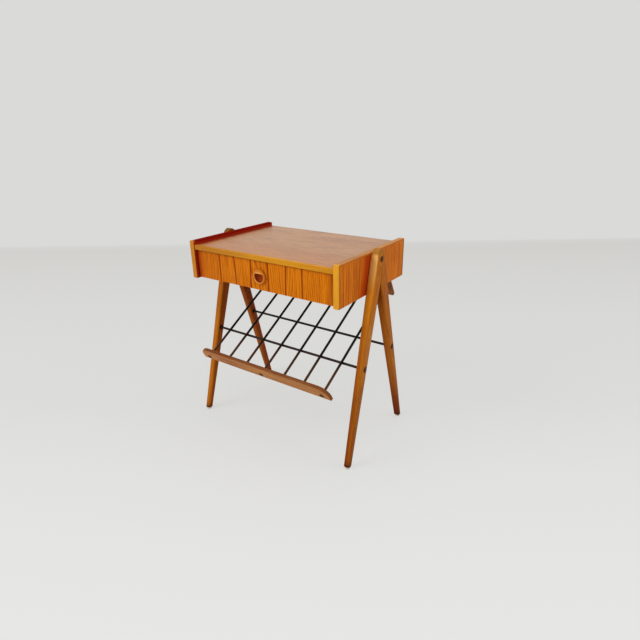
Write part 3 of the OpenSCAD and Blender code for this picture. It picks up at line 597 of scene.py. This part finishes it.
def grime_and_shade(mask, centres, place_of, clean):
    """Lays the stain and then soft dark rings round the screw heads, of oil and dirt and painted shade.
    The mask drops the direction along the screws, and the wood is clear past the clean distance from
    each centre, in mm."""

    def over(tree, result):
        flat = add(tree, "VectorMath", place_of(tree), mask, operation="MULTIPLY")
        nearest = FAR_OFF
        for centre in centres:
            away = add(tree, "VectorMath", flat, tuple(centre), operation="DISTANCE")
            nearest = add(tree, "Math", away, nearest, operation="MINIMUM")
        return paint(tree, stained(tree, result), palette().grime_and_shade, 0.92, nearest, clean - 2.5, clean)

    return over


def leg_wood():
    """Solid teak, planed and shaped by hand and oiled: golden brown with fine dark streaks along the leg."""
    screwed = ("apex_screws", "rod_front", "rod_rear")
    centres = [np.mean(corners(name), axis=0) * TO_MM * (0, 1, 1) for name in screwed]
    return wood("teak_solid_legs", palette().legs, grain_place, ring=3.4, pith=(0, 75, 40), tilt=0.6,
                figure=0.32, streak=1.3, patch=0.3, contrast=0.9, gloss=0.44,
                over=grime_and_shade((0, 1, 1), centres, object_place, 9.0))


def rail_wood():
    """Solid teak of the rails, oiled long ago and gone greyish tan, with darker edges."""
    low, high = (corner * TO_MM for corner in rack_corners("rail_screws"))
    head = (high[2] - low[2]) / 2
    centres = [(x, 0, low[2] + head) for x in (low[0] + head, (low[0] + high[0]) / 2, high[0] - head)]
    return wood("teak_solid_rail", palette().rail, grain_place, ring=3.2, pith=(0, 40, 90), tilt=0.8,
                figure=0.34, streak=1.5, patch=0.9, contrast=0.9, gloss=0.5,
                over=grime_and_shade((1, 0, 1), centres, grain_place, 7.5))


def knob_wood():
    """Turned teak, rubbed pale round the mouth, with painted highlights on the lip, and dark red in the
    hollow, which is painted shade.
    """
    return wood("teak_turned_knob", palette().knob, grain_place, ring=2.2, pith=(0, 30, 12), figure=0.3,
                streak=0.8, patch=0.4, contrast=0.5, gloss=0.4, over=stained)


def beech_wood(name, place_of):
    """Planed beech without stain: pale, even, with fine short flecks."""
    return wood(name, palette().beech, place_of, ring=3.5, pith=(0, 80, 50), figure=0.18, streak=0.6,
                patch=0.3, contrast=0.4, gloss=0.55)


def ply_wood(name, base):
    """Birch plywood, peeled and sanded, and stained at the back: wide wavy rings, since peeling follows the
    log's round."""
    return wood(name, base, object_place, ring=14.0, pith=(0, 30, 9), figure=0.3, streak=0.5, patch=0.8,
                contrast=0.4, gloss=0.6)


def specked(name, base, speck, scale, detail, rough, span=(0.0, 1.0), relief=0.0, over=None, **even):
    """A smooth skin with specks. Noise of a scale per millimetre lays the speck's colour over the base as
    it runs through its span, and leads the roughness from the first value to the second. Relief is the
    height of the skin's bumps, over lays something over it, and even holds the shader's plain values."""
    material = bpy.data.materials.new(name)
    tree = emptied(material)
    noise = add(tree, "TexNoise", object_place(tree), Scale=scale, Detail=detail)
    share = add(tree, "MapRange", noise, *span)
    result = add(tree, "Mix", Factor=share, A=(*base, 1), B=(*linear(speck), 1), data_type="RGBA")
    if over:
        result = over(tree, result)
    rough = add(tree, "MapRange", noise, 0.0, 1.0, *rough)
    if relief:
        even["Normal"] = add(tree, "Bump", Height=noise, Strength=0.2, Distance=relief)
    shader = add(tree, "BsdfPrincipled", Base_Color=result, Roughness=rough, **even)
    add(tree, "OutputMaterial", shader)
    return material


def browned(tree, result):
    """Lays brown over the wires' enamel from the front rod down to the front rail."""
    rod = RACK_ORIGIN[2]
    return paint(tree, result, "#4E2E14", 0.9, axes(tree)[2], rod - 20 * MM, rod + 12 * MM)


def wire_enamel():
    """Steel wire dipped in black enamel: near black, half gloss, with a slightly uneven skin and rubbed
    spots, and brown from the front rod down."""
    return specked("steel_wire_enamelled", palette().enamel, "#44281A", 0.35, 3.0, (0.28, 0.5), (0.58, 0.72),
                   0.1 * MM, browned, Specular_IOR_Level=0.12)


def screw_steel():
    """Screw steel, cold headed and burnished brown with age: dull metal with darker specks."""
    return specked("steel_screw_burnished", palette().steel, "#4A2810", 1.2, 4.0, (0.32, 0.6), Metallic=0.85)


def glide_nylon():
    """Moulded nylon, once white and gone ivory, scuffed dull underneath."""
    return specked("nylon_moulded", palette().nylon, "#C9BFA9", 0.8, 3.0, (0.35, 0.6),
                   Subsurface_Weight=0.05)


# Pieces


# How much painted shade each leg has, by its side and hand: the share of dark red brown at the
# floor and higher up, and the height in metres over which the first goes over into the second
LEG_SHADE = {(-1, 1): (0.54, 0.0, 0.34), (1, 1): (0.90, 0.24, 0.20), (-1, -1): (0.2, 0.04, 0.12),
             (1, -1): (0.72, 0.60, 0.12)}
# How far each leg's wood lies along, beside and below that of the leg before, in millimetres
LEG_SHIFT = np.array([700, 9, -13])
# The same for the rear rail's wood after the front rail's, along the grain alone
REAR_RAIL_SHIFT = 900
GLIDE_HEIGHT = 0.005
# Radius of the solid glides, in whose middles these stand
SOLID_GLIDE = 0.006
# How far the feet's edges are eased, and how far the legs stay off their mitre's plane and the case's face
FOOT_EASE = 0.0008
MITRE_GAP = 0.0001
FACE_GAP = 0.0001


def leg_grid(sizes, side, hand):
    """One leg as sections stacked from the foot to the top of the apex. The section at a height z is a
    rectangle with round corners, whose width, depth and middle change in proportion to z. Over the apex the
    half depth and the height follow an ellipse, cos a and sin a. What lies past the mitre is pressed flat
    on its plane, and so is what lies inside the case's face. Side is -1 for a front leg and 1 for a rear
    one, and hand is -1 on the left and 1 on the right."""
    apex_z = CASE_HIGH[2] + sizes.apex_over
    middle_z = apex_z - sizes.apex_rise
    cross_z = apex_z - sizes.cross_drop
    case_z = CASE_LOW[2]
    foot = GLIDE_HEIGHT + np.array([0, FOOT_EASE, 4 * MM, 8 * MM])
    free = np.linspace(foot[-1] + 12 * MM, case_z - 0.5 * MM, 23)
    z = np.concatenate([foot, free, np.linspace(case_z, middle_z, 10)])
    inset = np.where(z == foot[0], FOOT_EASE, 0)
    share = z / apex_z
    half_w = (sizes.foot_width + (sizes.top_width - sizes.foot_width) * share) / 2 - inset
    half_d = (sizes.foot_depth + (sizes.top_depth - sizes.foot_depth) * share) / 2 - inset
    middle_x = CASE_HIGH[0] + sizes.foot_out + (sizes.apex_out - sizes.foot_out) * share
    middle_y = side * sizes.foot_spread * (1 - z / cross_z)
    apex_half = half_d[-1] + sizes.foot_spread * (1 - middle_z / cross_z)
    a = np.linspace(0, math.radians(88), 12)[1:]
    z = np.concatenate([z, middle_z + sizes.apex_rise * np.sin(a)])
    half_w = np.concatenate([half_w, half_w[-1] - sizes.edge_radius * (1 - np.cos(a)) / 2])
    half_d = np.concatenate([half_d, apex_half * np.cos(a)])
    middle_x = np.concatenate([middle_x, np.full_like(a, middle_x[-1])])[:, None]
    middle_y = np.concatenate([middle_y, 0 * a])[:, None]
    radius = np.minimum(sizes.edge_radius, 0.98 * np.minimum(half_w, half_d))
    section = rounded_rectangle(half_w, half_d, radius)
    z = z[:, None]
    x = middle_x + section[..., 0]
    x = np.where(z >= case_z - 0.1 * MM, np.maximum(x, CASE_HIGH[0] + FACE_GAP), x)
    y = side * np.maximum(side * (middle_y + section[..., 1]), MITRE_GAP)
    height = z + 0 * x
    points = np.stack([hand * x, y + CASE_Y - sizes.apex_front, height], axis=-1)
    grain = np.stack([np.hypot(height, y), x - middle_x, y - middle_y], axis=-1) * TO_MM
    grain += LEG_SHIFT * (2 * (hand > 0) + (side > 0))
    return points[:, ::hand], grain[:, ::hand], z


def leg_stain_and_light(sizes, z, side, hand):
    """The painted light and shade of a leg, with its darker feet and the apex's end grain, for its rows'
    heights and its section's columns. Towards the front, the back and the case the shares follow the sine
    and cosine of the section's angle, and along the leg they follow eased steps."""
    colours = palette()
    angle = corner_angles()[None, ::hand]
    half = np.repeat([1.0, 0.0, 0.0, 1.0], 7)[None, ::hand]
    fore, aft = np.maximum(-np.sin(angle), 0), np.maximum(np.sin(angle), 0)
    inner, outer = np.maximum(-np.cos(angle), 0), np.maximum(np.cos(angle), 0)
    case_z = CASE_LOW[2]
    apex_z = CASE_HIGH[2] + sizes.apex_over
    low, high, reach = LEG_SHADE[side, hand]
    # Kept is the share left clear of painted shade, by the leg's place and height and on the face to the
    # case
    kept = 1 - high - (low - high) * (1 - ease(z, 0, reach))
    kept = kept * (1 - 0.60 * ease(inner, 0.93, 1.0))
    # Painted shade where the legs face each other below the apex and where the case shades the left legs,
    # and the feet are darker at the floor
    facing = fore if side > 0 else aft
    kept = kept * (1 - 0.68 * ease(facing, 0.85, 1.0) * ease(z, case_z - 60 * MM, case_z))
    if hand < 0:
        kept = kept * (1 - 0.22 * fore * ease(z, case_z - 160 * MM, case_z - 90 * MM))
    else:
        # Painted shade along the right legs' edge between the fore and the inner face
        kept = kept * (1 - 0.42 * (1 - half) * ease(fore, 0.2, 0.7))
    # Painted shade on the legs' outer faces, fading out towards the case
    outer_face_shade = 0.25 * ease(outer, 0.3, 1.0) * (1 - ease(z, 300 * MM, case_z))
    stain = lay(np.zeros((*kept.shape, 4)), outer_face_shade, colours.outer_face_shade)
    stain = lay(stain, 0.97 * (1 - kept), colours.shaded_teak)
    if side < 0 and hand > 0:
        # Painted light on the right leg's fore face under the case, and a painted highlight, most of all at
        # the apex
        pale = ease(fore, 0.5, 1.0) * (0.45 + 0.55 * half)
        stain = lay(stain, pale * ease(z, case_z - 90 * MM, case_z - 15 * MM), colours.leg_painted_light)
        stain = lay(stain, pale * ease(z, case_z - 5 * MM, case_z + 70 * MM), colours.leg_highlight)
    stain = lay(stain, 0.8 * (1 - ease(z, GLIDE_HEIGHT + 3 * MM, GLIDE_HEIGHT + 12 * MM)), colours.grime_and_shade)
    cap = colours.cap if hand > 0 else colours.cap_shaded
    return lay(stain, 0.92 * ease(z, apex_z - 15 * MM, apex_z - 8 * MM), cap)


def knob_grid(sizes, radius, rise, seat):
    """The knob about its axis, as rings whose radius may change with the angle: out over its spigot's end,
    up its rim, over a rounded edge, across the face to the mouth, down the lip, out under it and down a
    round bowl. The mouth's radius is the smooth smaller one of the hollow's radius and the lip's level
    edge, l / sin a. The second result is the stain: pale round the mouth, with painted highlights on the
    lip, and dark red painted shade in the bowl and on the rim."""
    angle = np.linspace(0, 2 * math.pi, 96, endpoint=False)
    sharp = 12
    level = np.maximum(np.sin(angle), 0) / sizes.lip
    mouth = ((1 / sizes.hollow) ** sharp + level ** sharp) ** (-1 / sharp)
    edge, bevel, dip = sizes.knob_edge, 0.7 * MM, 0.4 * MM
    spigot, hollow = sizes.spigot, sizes.hollow
    # Painted highlights, strongest on the lip's upper edge and at the mouth's lower left
    lower_left = 5 * math.pi / 4
    rubbed = np.maximum(ease(np.sin(angle), 0.1, 0.8), 0.8 * ease(np.cos(angle - lower_left), 0.7, 1.0))
    # Each row is a ring's radius, its height, its pale of wear and painted highlight, and its painted shade
    rim = ((spigot, seat), (spigot, 0), (radius - 0.3 * MM, 0), (radius, 0.3 * MM))
    rows = [(r, h, 0, 0.4) for r, h in rim]
    rows += [(radius - edge + edge * math.cos(a), rise - edge + edge * math.sin(a), 0, 0)
             for a in np.linspace(0, QUARTER, 7)]
    rows += [((radius - edge) * (1 - s) + (mouth + bevel) * s, rise - dip * s * s,
              s * s * (0.3 + 0.7 * rubbed), 0) for s in (0.35, 0.7, 1.0)]
    rows += [(mouth + bevel - bevel * math.sin(a), rise - dip - bevel + bevel * math.cos(a),
              (1 - 0.5 * a) * (0.45 + 0.55 * rubbed), 0.25 * a) for a in np.linspace(0, QUARTER, 5)[1:]]
    under = rise - sizes.lip_thick
    rows += [(mouth, under + 0.5 * MM, 0, 0.9), (np.minimum(mouth + 0.5 * MM, hollow), under, 0, 0.95),
             (hollow, under, 0, 0.95)]
    drop = sizes.hollow_depth - sizes.lip_thick
    rows += [(max(hollow * math.cos(a) ** 0.6, 0.2 * MM), under - drop * math.sin(a), 0, 0.93)
             for a in np.linspace(0, QUARTER, 12)[1:]]
    r, h, pale, dark = np.array([[part + 0 * angle for part in row] for row in rows]).transpose(1, 0, 2)
    stain = lay(np.zeros((*r.shape, 4)), pale, palette().worn)
    return np.stack([r * np.cos(angle), r * np.sin(angle), h], axis=-1), lay(stain, dark, palette().hollow)


class MakeCase(bpy.types.Operator):
    """Gives the case's panels, lippings, back, dowels and runners their wood"""

    bl_idname = "nightstand.case"
    bl_label = "Case"

    def execute(self, context):
        colours = palette()
        upright, deep = (0, 90, 0), (0, 0, -90)
        dress(case_veneer(), "side_panel_left", "side_panel_right")
        dress(top_veneer(), "top_panel")
        dress(lipping_wood("teak_lipping_level", (0, 0, 0), colours.lipping, lipping_end), "top_lipping")
        for place, name, turn, tint in (("front_right", "upright", upright, colours.front_lipping),
                                        ("front_left", "upright_worn", upright, colours.left_lipping),
                                        ("top_right", "deep", deep, colours.edge_lipping)):
            dress(lipping_wood(f"teak_lipping_{name}", turn, tint, lipping_sides), f"side_lipping_{place}")
        dress(lipping_wood("teak_lipping_stained", deep, colours.stained, level=0.0),
              "side_lipping_top_left")
        dress(ply_wood("birch_plywood_stained", colours.back), "back_panel")
        dress(ply_wood("birch_plywood", colours.ply), "drawer_bottom")
        dress(beech_wood("beech_runners", lambda tree: object_place(tree, deep)), "drawer_runner_left",
              "drawer_runner_right", "case_dowels", "rail_dowels", "leg_dowels")
        return {"FINISHED"}


class MakeLegs(bpy.types.Operator):
    """Makes the four tapered legs, mitred in pairs under a rounded apex"""

    bl_idname = "nightstand.legs"
    bl_label = "Legs"

    def execute(self, context):
        sizes = context.scene.nightstand_legs
        material = leg_wood()
        for side, row in ((-1, "front"), (1, "rear")):
            for hand, flank in ((-1, "left"), (1, "right")):
                node = f"leg_{row}_{flank}"
                points, grain, z = leg_grid(sizes, side, hand)
                piece = surface(f"shaped_{node}", [points], material, grain, leg_stain_and_light(sizes, z, side, hand))
                settle(piece, "frame", "teak_solid_legs", node)
        return {"FINISHED"}


class MakeGlides(bpy.types.Operator):
    """Makes the four round glides under the feet"""

    bl_idname = "nightstand.glides"
    bl_label = "Glides"

    def execute(self, context):
        low, high = corners("leg_glides")
        top = GLIDE_HEIGHT * TO_MM
        profile = np.array([(5.8, 0), (6.9, 0.3), (7.4, 1.0), (7.4, top - 0.5), (7.0, top)]) * MM
        grids = [turned(profile) + np.array([x, y, 0]) for x in (low[0] + SOLID_GLIDE, high[0] - SOLID_GLIDE)
                 for y in (low[1] + SOLID_GLIDE, high[1] - SOLID_GLIDE)]
        settle(surface("moulded_glides", grids, glide_nylon()), "frame", "nylon_glides", "leg_glides")
        return {"FINISHED"}


class MakeWires(bpy.types.Operator):
    """Makes the seven wires, the two rods and the weld beads between them"""

    bl_idname = "nightstand.wires"
    bl_label = "Wires and rods"

    def execute(self, context):
        material = wire_enamel()
        for name in ("rod_front", "rod_rear"):
            low, high = corners(name)
            middle = (low + high) / 2
            ends = [np.array([x, middle[1], middle[2]]) for x in (low[0], high[0])]
            self.wire(name, ends, low, high, material)
        beads = []
        for number in range(1, 8):
            name = f"rack_wire_{number}"
            low, high = rack_corners(name)
            x, z = (low[0] + high[0]) / 2, (low[2] + high[2]) / 2
            self.wire(name, from_rack(np.array([[x, low[1], z], [x, high[1], z]])), low, high, material)
            beads.append(self.bead(context.scene.nightstand_rack.bead, x, z / 2))
        settle(surface("weld_beads", beads, material), "frame", "black_wire")
        return {"FINISHED"}

    @staticmethod
    def wire(node, ends, low, high, material):
        """A straight wire or rod for a node, from one end to the other, as thick as its box is high."""
        piece = surface(f"drawn_{node}", [bar(*ends, (high[2] - low[2]) / 2)], material)
        settle(piece, "frame", "black_wire", node)

    @staticmethod
    def bead(size, x, z):
        """A flattened ball: rings of radius r cos a at heights 0.55 r sin a."""
        a = np.radians(np.linspace(-84, 84, 9))
        ball = turned(np.stack([size * np.cos(a), 0.55 * size * np.sin(a)], axis=-1), 20)
        return from_rack(ball + np.array([x, 0, z]))


class MakeRails(bpy.types.Operator):
    """Makes the rack's front rail with its round upper corners, and its rear rail"""

    bl_idname = "nightstand.rails"
    bl_label = "Rails"

    def execute(self, context):
        sizes = context.scene.nightstand_rack
        material = rail_wood()
        small = 1.5 * MM
        front = (sizes.rail_end, sizes.rail_end, small, small)
        self.rail("front", front, sizes.rail_edge, 0, 0.0, material)
        # The rear rail, under the case, takes 0.25 of painted shade on its faces
        self.rail("rear", (small, small, small, small), sizes.rear_edge, REAR_RAIL_SHIFT, 0.25, material)
        return {"FINISHED"}

    @staticmethod
    def rail(row, radii, edge, shift, shade, material):
        """One rail with its grain along X. It is dark on the rounding between its faces. On them it is as
        dark as the share of painted shade says, and evenly darker towards the right, by 0.22 at the end."""
        node = f"rack_rail_{row}"
        own = slab(*rack_corners(node), radii, edge)
        rim = np.full(own.shape[:2], 0.75)
        faces = [0, 1, -2, -1]
        rim[faces] = shade + 0.22 * (own[faces, :, 0] - own[..., 0].min()) / np.ptp(own[..., 0])
        stain = lay(np.zeros((*own.shape[:2], 4)), rim, linear("#5E2A10"))
        grain = own * TO_MM + np.array([shift, 0, 0])
        piece = surface(f"shaped_rail_{row}", [from_rack(own)], material, grain, stain)
        settle(piece, "frame", "teak_solid_rails", node)


class MakeDrawerFront(bpy.types.Operator):
    """Gives the drawer front its veneer, laid in upright strips"""

    bl_idname = "nightstand.drawer_front"
    bl_label = "Drawer front"

    def execute(self, context):
        dress(drawer_veneer(), "drawer_front")
        return {"FINISHED"}


class MakeDrawerBox(bpy.types.Operator):
    """Makes the drawer's sides with their grooves, and its back"""

    bl_idname = "nightstand.drawer_box"
    bl_label = "Drawer box"

    def execute(self, context):
        edge = context.scene.nightstand_drawer.board_edge
        back = slab(*corners("drawer_back"), (edge, edge, edge, edge), edge)
        boards = {"drawer_side_left": self.grooved_side("drawer_side_left", -1, edge),
                  "drawer_side_right": self.grooved_side("drawer_side_right", 1, edge),
                  "drawer_back": (back, back * TO_MM)}
        material = beech_wood("beech_planed", grain_place)
        for node, (points, grain) in boards.items():
            settle(surface(f"planed_{node}", [points], material, grain), "drawer", "beech_inside", node)
        return {"FINISHED"}

    @staticmethod
    def grooved_side(node, hand, edge):
        """A section carried along Y: a board with eased corners and a groove in its outer face, on the +X
        side, turned over for the left."""
        low, high = corners(node)
        runner_low, runner_high = corners("drawer_runner_right")
        gap = 0.4 * MM
        inner, outer = (low[0], high[0]) if hand > 0 else (-high[0], -low[0])
        floor = runner_low[0] - gap
        foot, head = runner_low[2] - gap, runner_high[2] + gap
        section = np.array([(inner + edge, low[2]), (outer - edge, low[2]), (outer, low[2] + edge),
                            (outer, foot - edge / 2), (outer - edge / 2, foot), (floor, foot), (floor, head),
                            (outer - edge / 2, head), (outer, head + edge / 2), (outer, high[2] - edge),
                            (outer - edge, high[2]), (inner + edge, high[2]), (inner, high[2] - edge),
                            (inner, low[2] + edge)])
        x, z = section.T
        y = np.array([low[1], high[1]])[:, None]
        points = np.stack([hand * x + 0 * y, y + 0 * x, z + 0 * y], axis=-1)[:, ::-hand]
        return points, points[..., [1, 0, 2]] * TO_MM


class MakeKnob(bpy.types.Operator):
    """Makes the turned knob with its finger hollow under a level lip"""

    bl_idname = "nightstand.knob"
    bl_label = "Knob"

    def execute(self, context):
        low, high = corners("drawer_knob")
        face = corners("drawer_front")[0][1]
        own, stain = knob_grid(context.scene.nightstand_drawer, (high[0] - low[0]) / 2, face - low[1],
                               face - high[1])
        middle = (low + high) / 2
        points = np.stack([middle[0] + own[..., 0], face - own[..., 2], middle[2] + own[..., 1]], axis=-1)
        piece = surface("turned_knob", [points], knob_wood(), own[..., [1, 0, 2]] * TO_MM, stain)
        settle(piece, "drawer", "teak_knob", "drawer_knob")
        return {"FINISHED"}


class MakeScrews(bpy.types.Operator):
    """Gives the screws and pins their burnished steel"""

    bl_idname = "nightstand.screws"
    bl_label = "Screws"

    def execute(self, context):
        dress(screw_steel(), "apex_screws", "leg_screws", "rod_screws", "rail_screws", "runner_screws",
              "knob_screw", "drawer_pins")
        return {"FINISHED"}


# Camera, floor and lamps


# The camera's place, its turns in radians, and its focal length in pixels of a picture 640 pixels wide, as
# they were fitted to the edges of the object in the photograph
CAMERA_PLACE = (0.734373, -0.937813, 0.780770)
YAW, PITCH, ROLL = -0.610056923, 0.385715879, -0.0144647223
FOCAL_LENGTH, PICTURE_WIDTH = 467.0708, 640
SENSOR_WIDTH = 36
LAMP_AIM = (0, 0, 0.35)
# Where along the view the floor's paint has its near, middle and far colour, and how softly it ends
FLOOR_NEAR, FLOOR_MIDDLE, FLOOR_FAR, FLOOR_EDGE = -0.7, 0.07, 2.2, 0.12
FLOOR_RADIUS = 4.7


class MakeStage(bpy.types.Operator):
    """Makes the camera, the pale floor and the soft lamps"""

    bl_idname = "nightstand.stage"
    bl_label = "Stage"

    def execute(self, context):
        settings = context.scene.nightstand_stage
        self.camera(context)
        self.floor(settings)
        self.room(context, settings)
        self.lamp(context, "key_lamp", (-2.2, -3.2, 2.8), 2.5, settings.key)
        self.lamp(context, "side_lamp", (3.2, 1.3, 1.9), 1.8, settings.side)
        self.lamp(context, "overhead_lamp", (0.1, 0.2, 3.0), 2.4, settings.overhead)
        context.scene.view_settings.view_transform = "Standard"
        return {"FINISHED"}

    @staticmethod
    def camera(context):
        """The camera where the photograph was taken from: 1.2 m away, a little above, to the front right."""
        turn = Matrix.Rotation(-YAW, 4, "Z") @ Matrix.Rotation(QUARTER - PITCH, 4, "X")
        lens = bpy.data.cameras.new("camera")
        lens.sensor_width = SENSOR_WIDTH
        lens.lens = FOCAL_LENGTH / PICTURE_WIDTH * SENSOR_WIDTH
        seen = bpy.data.objects.new("camera", lens)
        seen.matrix_world = Matrix.Translation(CAMERA_PLACE) @ turn @ Matrix.Rotation(ROLL, 4, "Z")
        context.scene.collection.objects.link(seen)
        context.scene.camera = seen

    @staticmethod
    def floor(settings):
        """A wide round floor: rings of radius r about the object. Its paint pales towards the camera, a
        painted fall of the light from near to far. The eye sees part of it as bright as it is painted, so
        the shadows stay as faint as in a lit studio, and it goes over into the backdrop far behind the
        object."""
        material = bpy.data.materials.new("floor_painted")
        tree = emptied(material)
        place = add(tree, "TexCoord").outputs["Object"]
        ahead = add(tree, "VectorMath", place, (math.sin(YAW), math.cos(YAW), 0), operation="DOT_PRODUCT")
        coat = add(tree, "ValToRGB", add(tree, "MapRange", ahead, FLOOR_NEAR, FLOOR_FAR))
        stops = coat.color_ramp.elements
        stops[0].color = (*settings.floor_near, 1)
        stops[1].color = (*settings.floor_far, 1)
        middle = (FLOOR_MIDDLE - FLOOR_NEAR) / (FLOOR_FAR - FLOOR_NEAR)
        stops.new(middle).color = (*settings.floor_middle, 1)
        lit = add(tree, "BsdfPrincipled", Base_Color=coat, Roughness=0.6, Specular_IOR_Level=0.2)
        behind = add(tree, "MapRange", ahead, FLOOR_FAR - FLOOR_EDGE, FLOOR_FAR + FLOOR_EDGE,
                     interpolation_type="SMOOTHSTEP")
        reach = add(tree, "VectorMath", place, operation="LENGTH")
        rim = add(tree, "MapRange", reach, FLOOR_RADIUS - 1.3, FLOOR_RADIUS - 0.1,
                  interpolation_type="SMOOTHSTEP")
        fade = add(tree, "Math", behind, rim, operation="MAXIMUM")
        seen = add(tree, "Mix", Factor=fade, A=coat, B=(*settings.backdrop, 1), data_type="RGBA")
        calm = add(tree, "Math", fade, settings.calm, operation="MAXIMUM")
        rays = add(tree, "LightPath")
        eye = add(tree, "Math", calm, rays.outputs["Is Camera Ray"], operation="MULTIPLY")
        glow = add(tree, "Emission", seen, 1.0)
        add(tree, "OutputMaterial", add(tree, "MixShader", eye, lit, glow))
        under = -0.2 * MM
        rings = [(FLOOR_RADIUS, under - 1 * MM)]
        rings += [(radius, under) for radius in (FLOOR_RADIUS, 1.5, 0.3, 0.02)]
        surface("floor", [turned(rings, 96)], material)

    @staticmethod
    def room(context, settings):
        """An even room light, in front of which the eye sees the backdrop."""
        world = bpy.data.worlds.new("room")
        tree = emptied(world)
        rays = add(tree, "LightPath").outputs
        mirrored = add(tree, "Math", rays["Is Glossy Ray"], rays["Is Transmission Ray"], operation="MAXIMUM")
        seen = add(tree, "Math", rays["Is Camera Ray"], mirrored, operation="MAXIMUM")
        light = add(tree, "Background", (1.0, 1.0, 1.0, 1.0), settings.sky)
        backdrop = add(tree, "Background", (*settings.backdrop, 1), 1.0)
        add(tree, "OutputWorld", add(tree, "MixShader", seen, light, backdrop))
        context.scene.world = world

    @staticmethod
    def lamp(context, name, place, size, power):
        """A square soft lamp that points at the case."""
        lamp = bpy.data.lights.new(name, "AREA")
        lamp.shape = "SQUARE"
        lamp.size = size
        lamp.energy = power
        holder = bpy.data.objects.new(name, lamp)
        holder.location = place
        holder.rotation_euler = (Vector(LAMP_AIM) - holder.location).to_track_quat("-Z", "Y").to_euler()
        context.scene.collection.objects.link(holder)


class NightstandPanel(bpy.types.Panel):
    """Lists the nightstand's operators and values"""

    bl_idname = "VIEW3D_PT_nightstand"
    bl_label = "Nightstand"
    bl_space_type = "VIEW_3D"
    bl_region_type = "UI"
    bl_category = "Nightstand"

    def draw(self, context):
        for operator in OPERATORS:
            self.layout.operator(operator.bl_idname)
        for group in GROUPS:
            values = getattr(context.scene, group)
            box = self.layout.box()
            for key in values.bl_rna.properties.keys():
                if key not in ("name", "rna_type"):
                    box.prop(values, key)


OPERATORS = (MakeStage, MakeCase, MakeLegs, MakeGlides, MakeWires, MakeRails, MakeDrawerFront, MakeDrawerBox,
             MakeKnob, MakeScrews)
GROUPS = {"nightstand_legs": LegSizes, "nightstand_rack": RackSizes, "nightstand_drawer": DrawerSizes,
          "nightstand_colours": FinishColours, "nightstand_stage": StageLight}


def register():
    """Registers the groups, the operators and the panel."""
    for name, group in GROUPS.items():
        bpy.utils.register_class(group)
        setattr(bpy.types.Scene, name, bpy.props.PointerProperty(type=group))
    for operator in OPERATORS:
        bpy.utils.register_class(operator)
    bpy.utils.register_class(NightstandPanel)


def unregister():
    """Takes out what register put in."""
    bpy.utils.unregister_class(NightstandPanel)
    for operator in reversed(OPERATORS):
        bpy.utils.unregister_class(operator)
    for name, group in GROUPS.items():
        delattr(bpy.types.Scene, name)
        bpy.utils.unregister_class(group)


def main():
    """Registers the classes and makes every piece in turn."""
    register()
    bpy.ops.nightstand.stage()
    bpy.ops.nightstand.case()
    bpy.ops.nightstand.legs()
    bpy.ops.nightstand.glides()
    bpy.ops.nightstand.wires()
    bpy.ops.nightstand.rails()
    bpy.ops.nightstand.drawer_front()
    bpy.ops.nightstand.drawer_box()
    bpy.ops.nightstand.knob()
    bpy.ops.nightstand.screws()


if __name__ == "__main__":
    main()
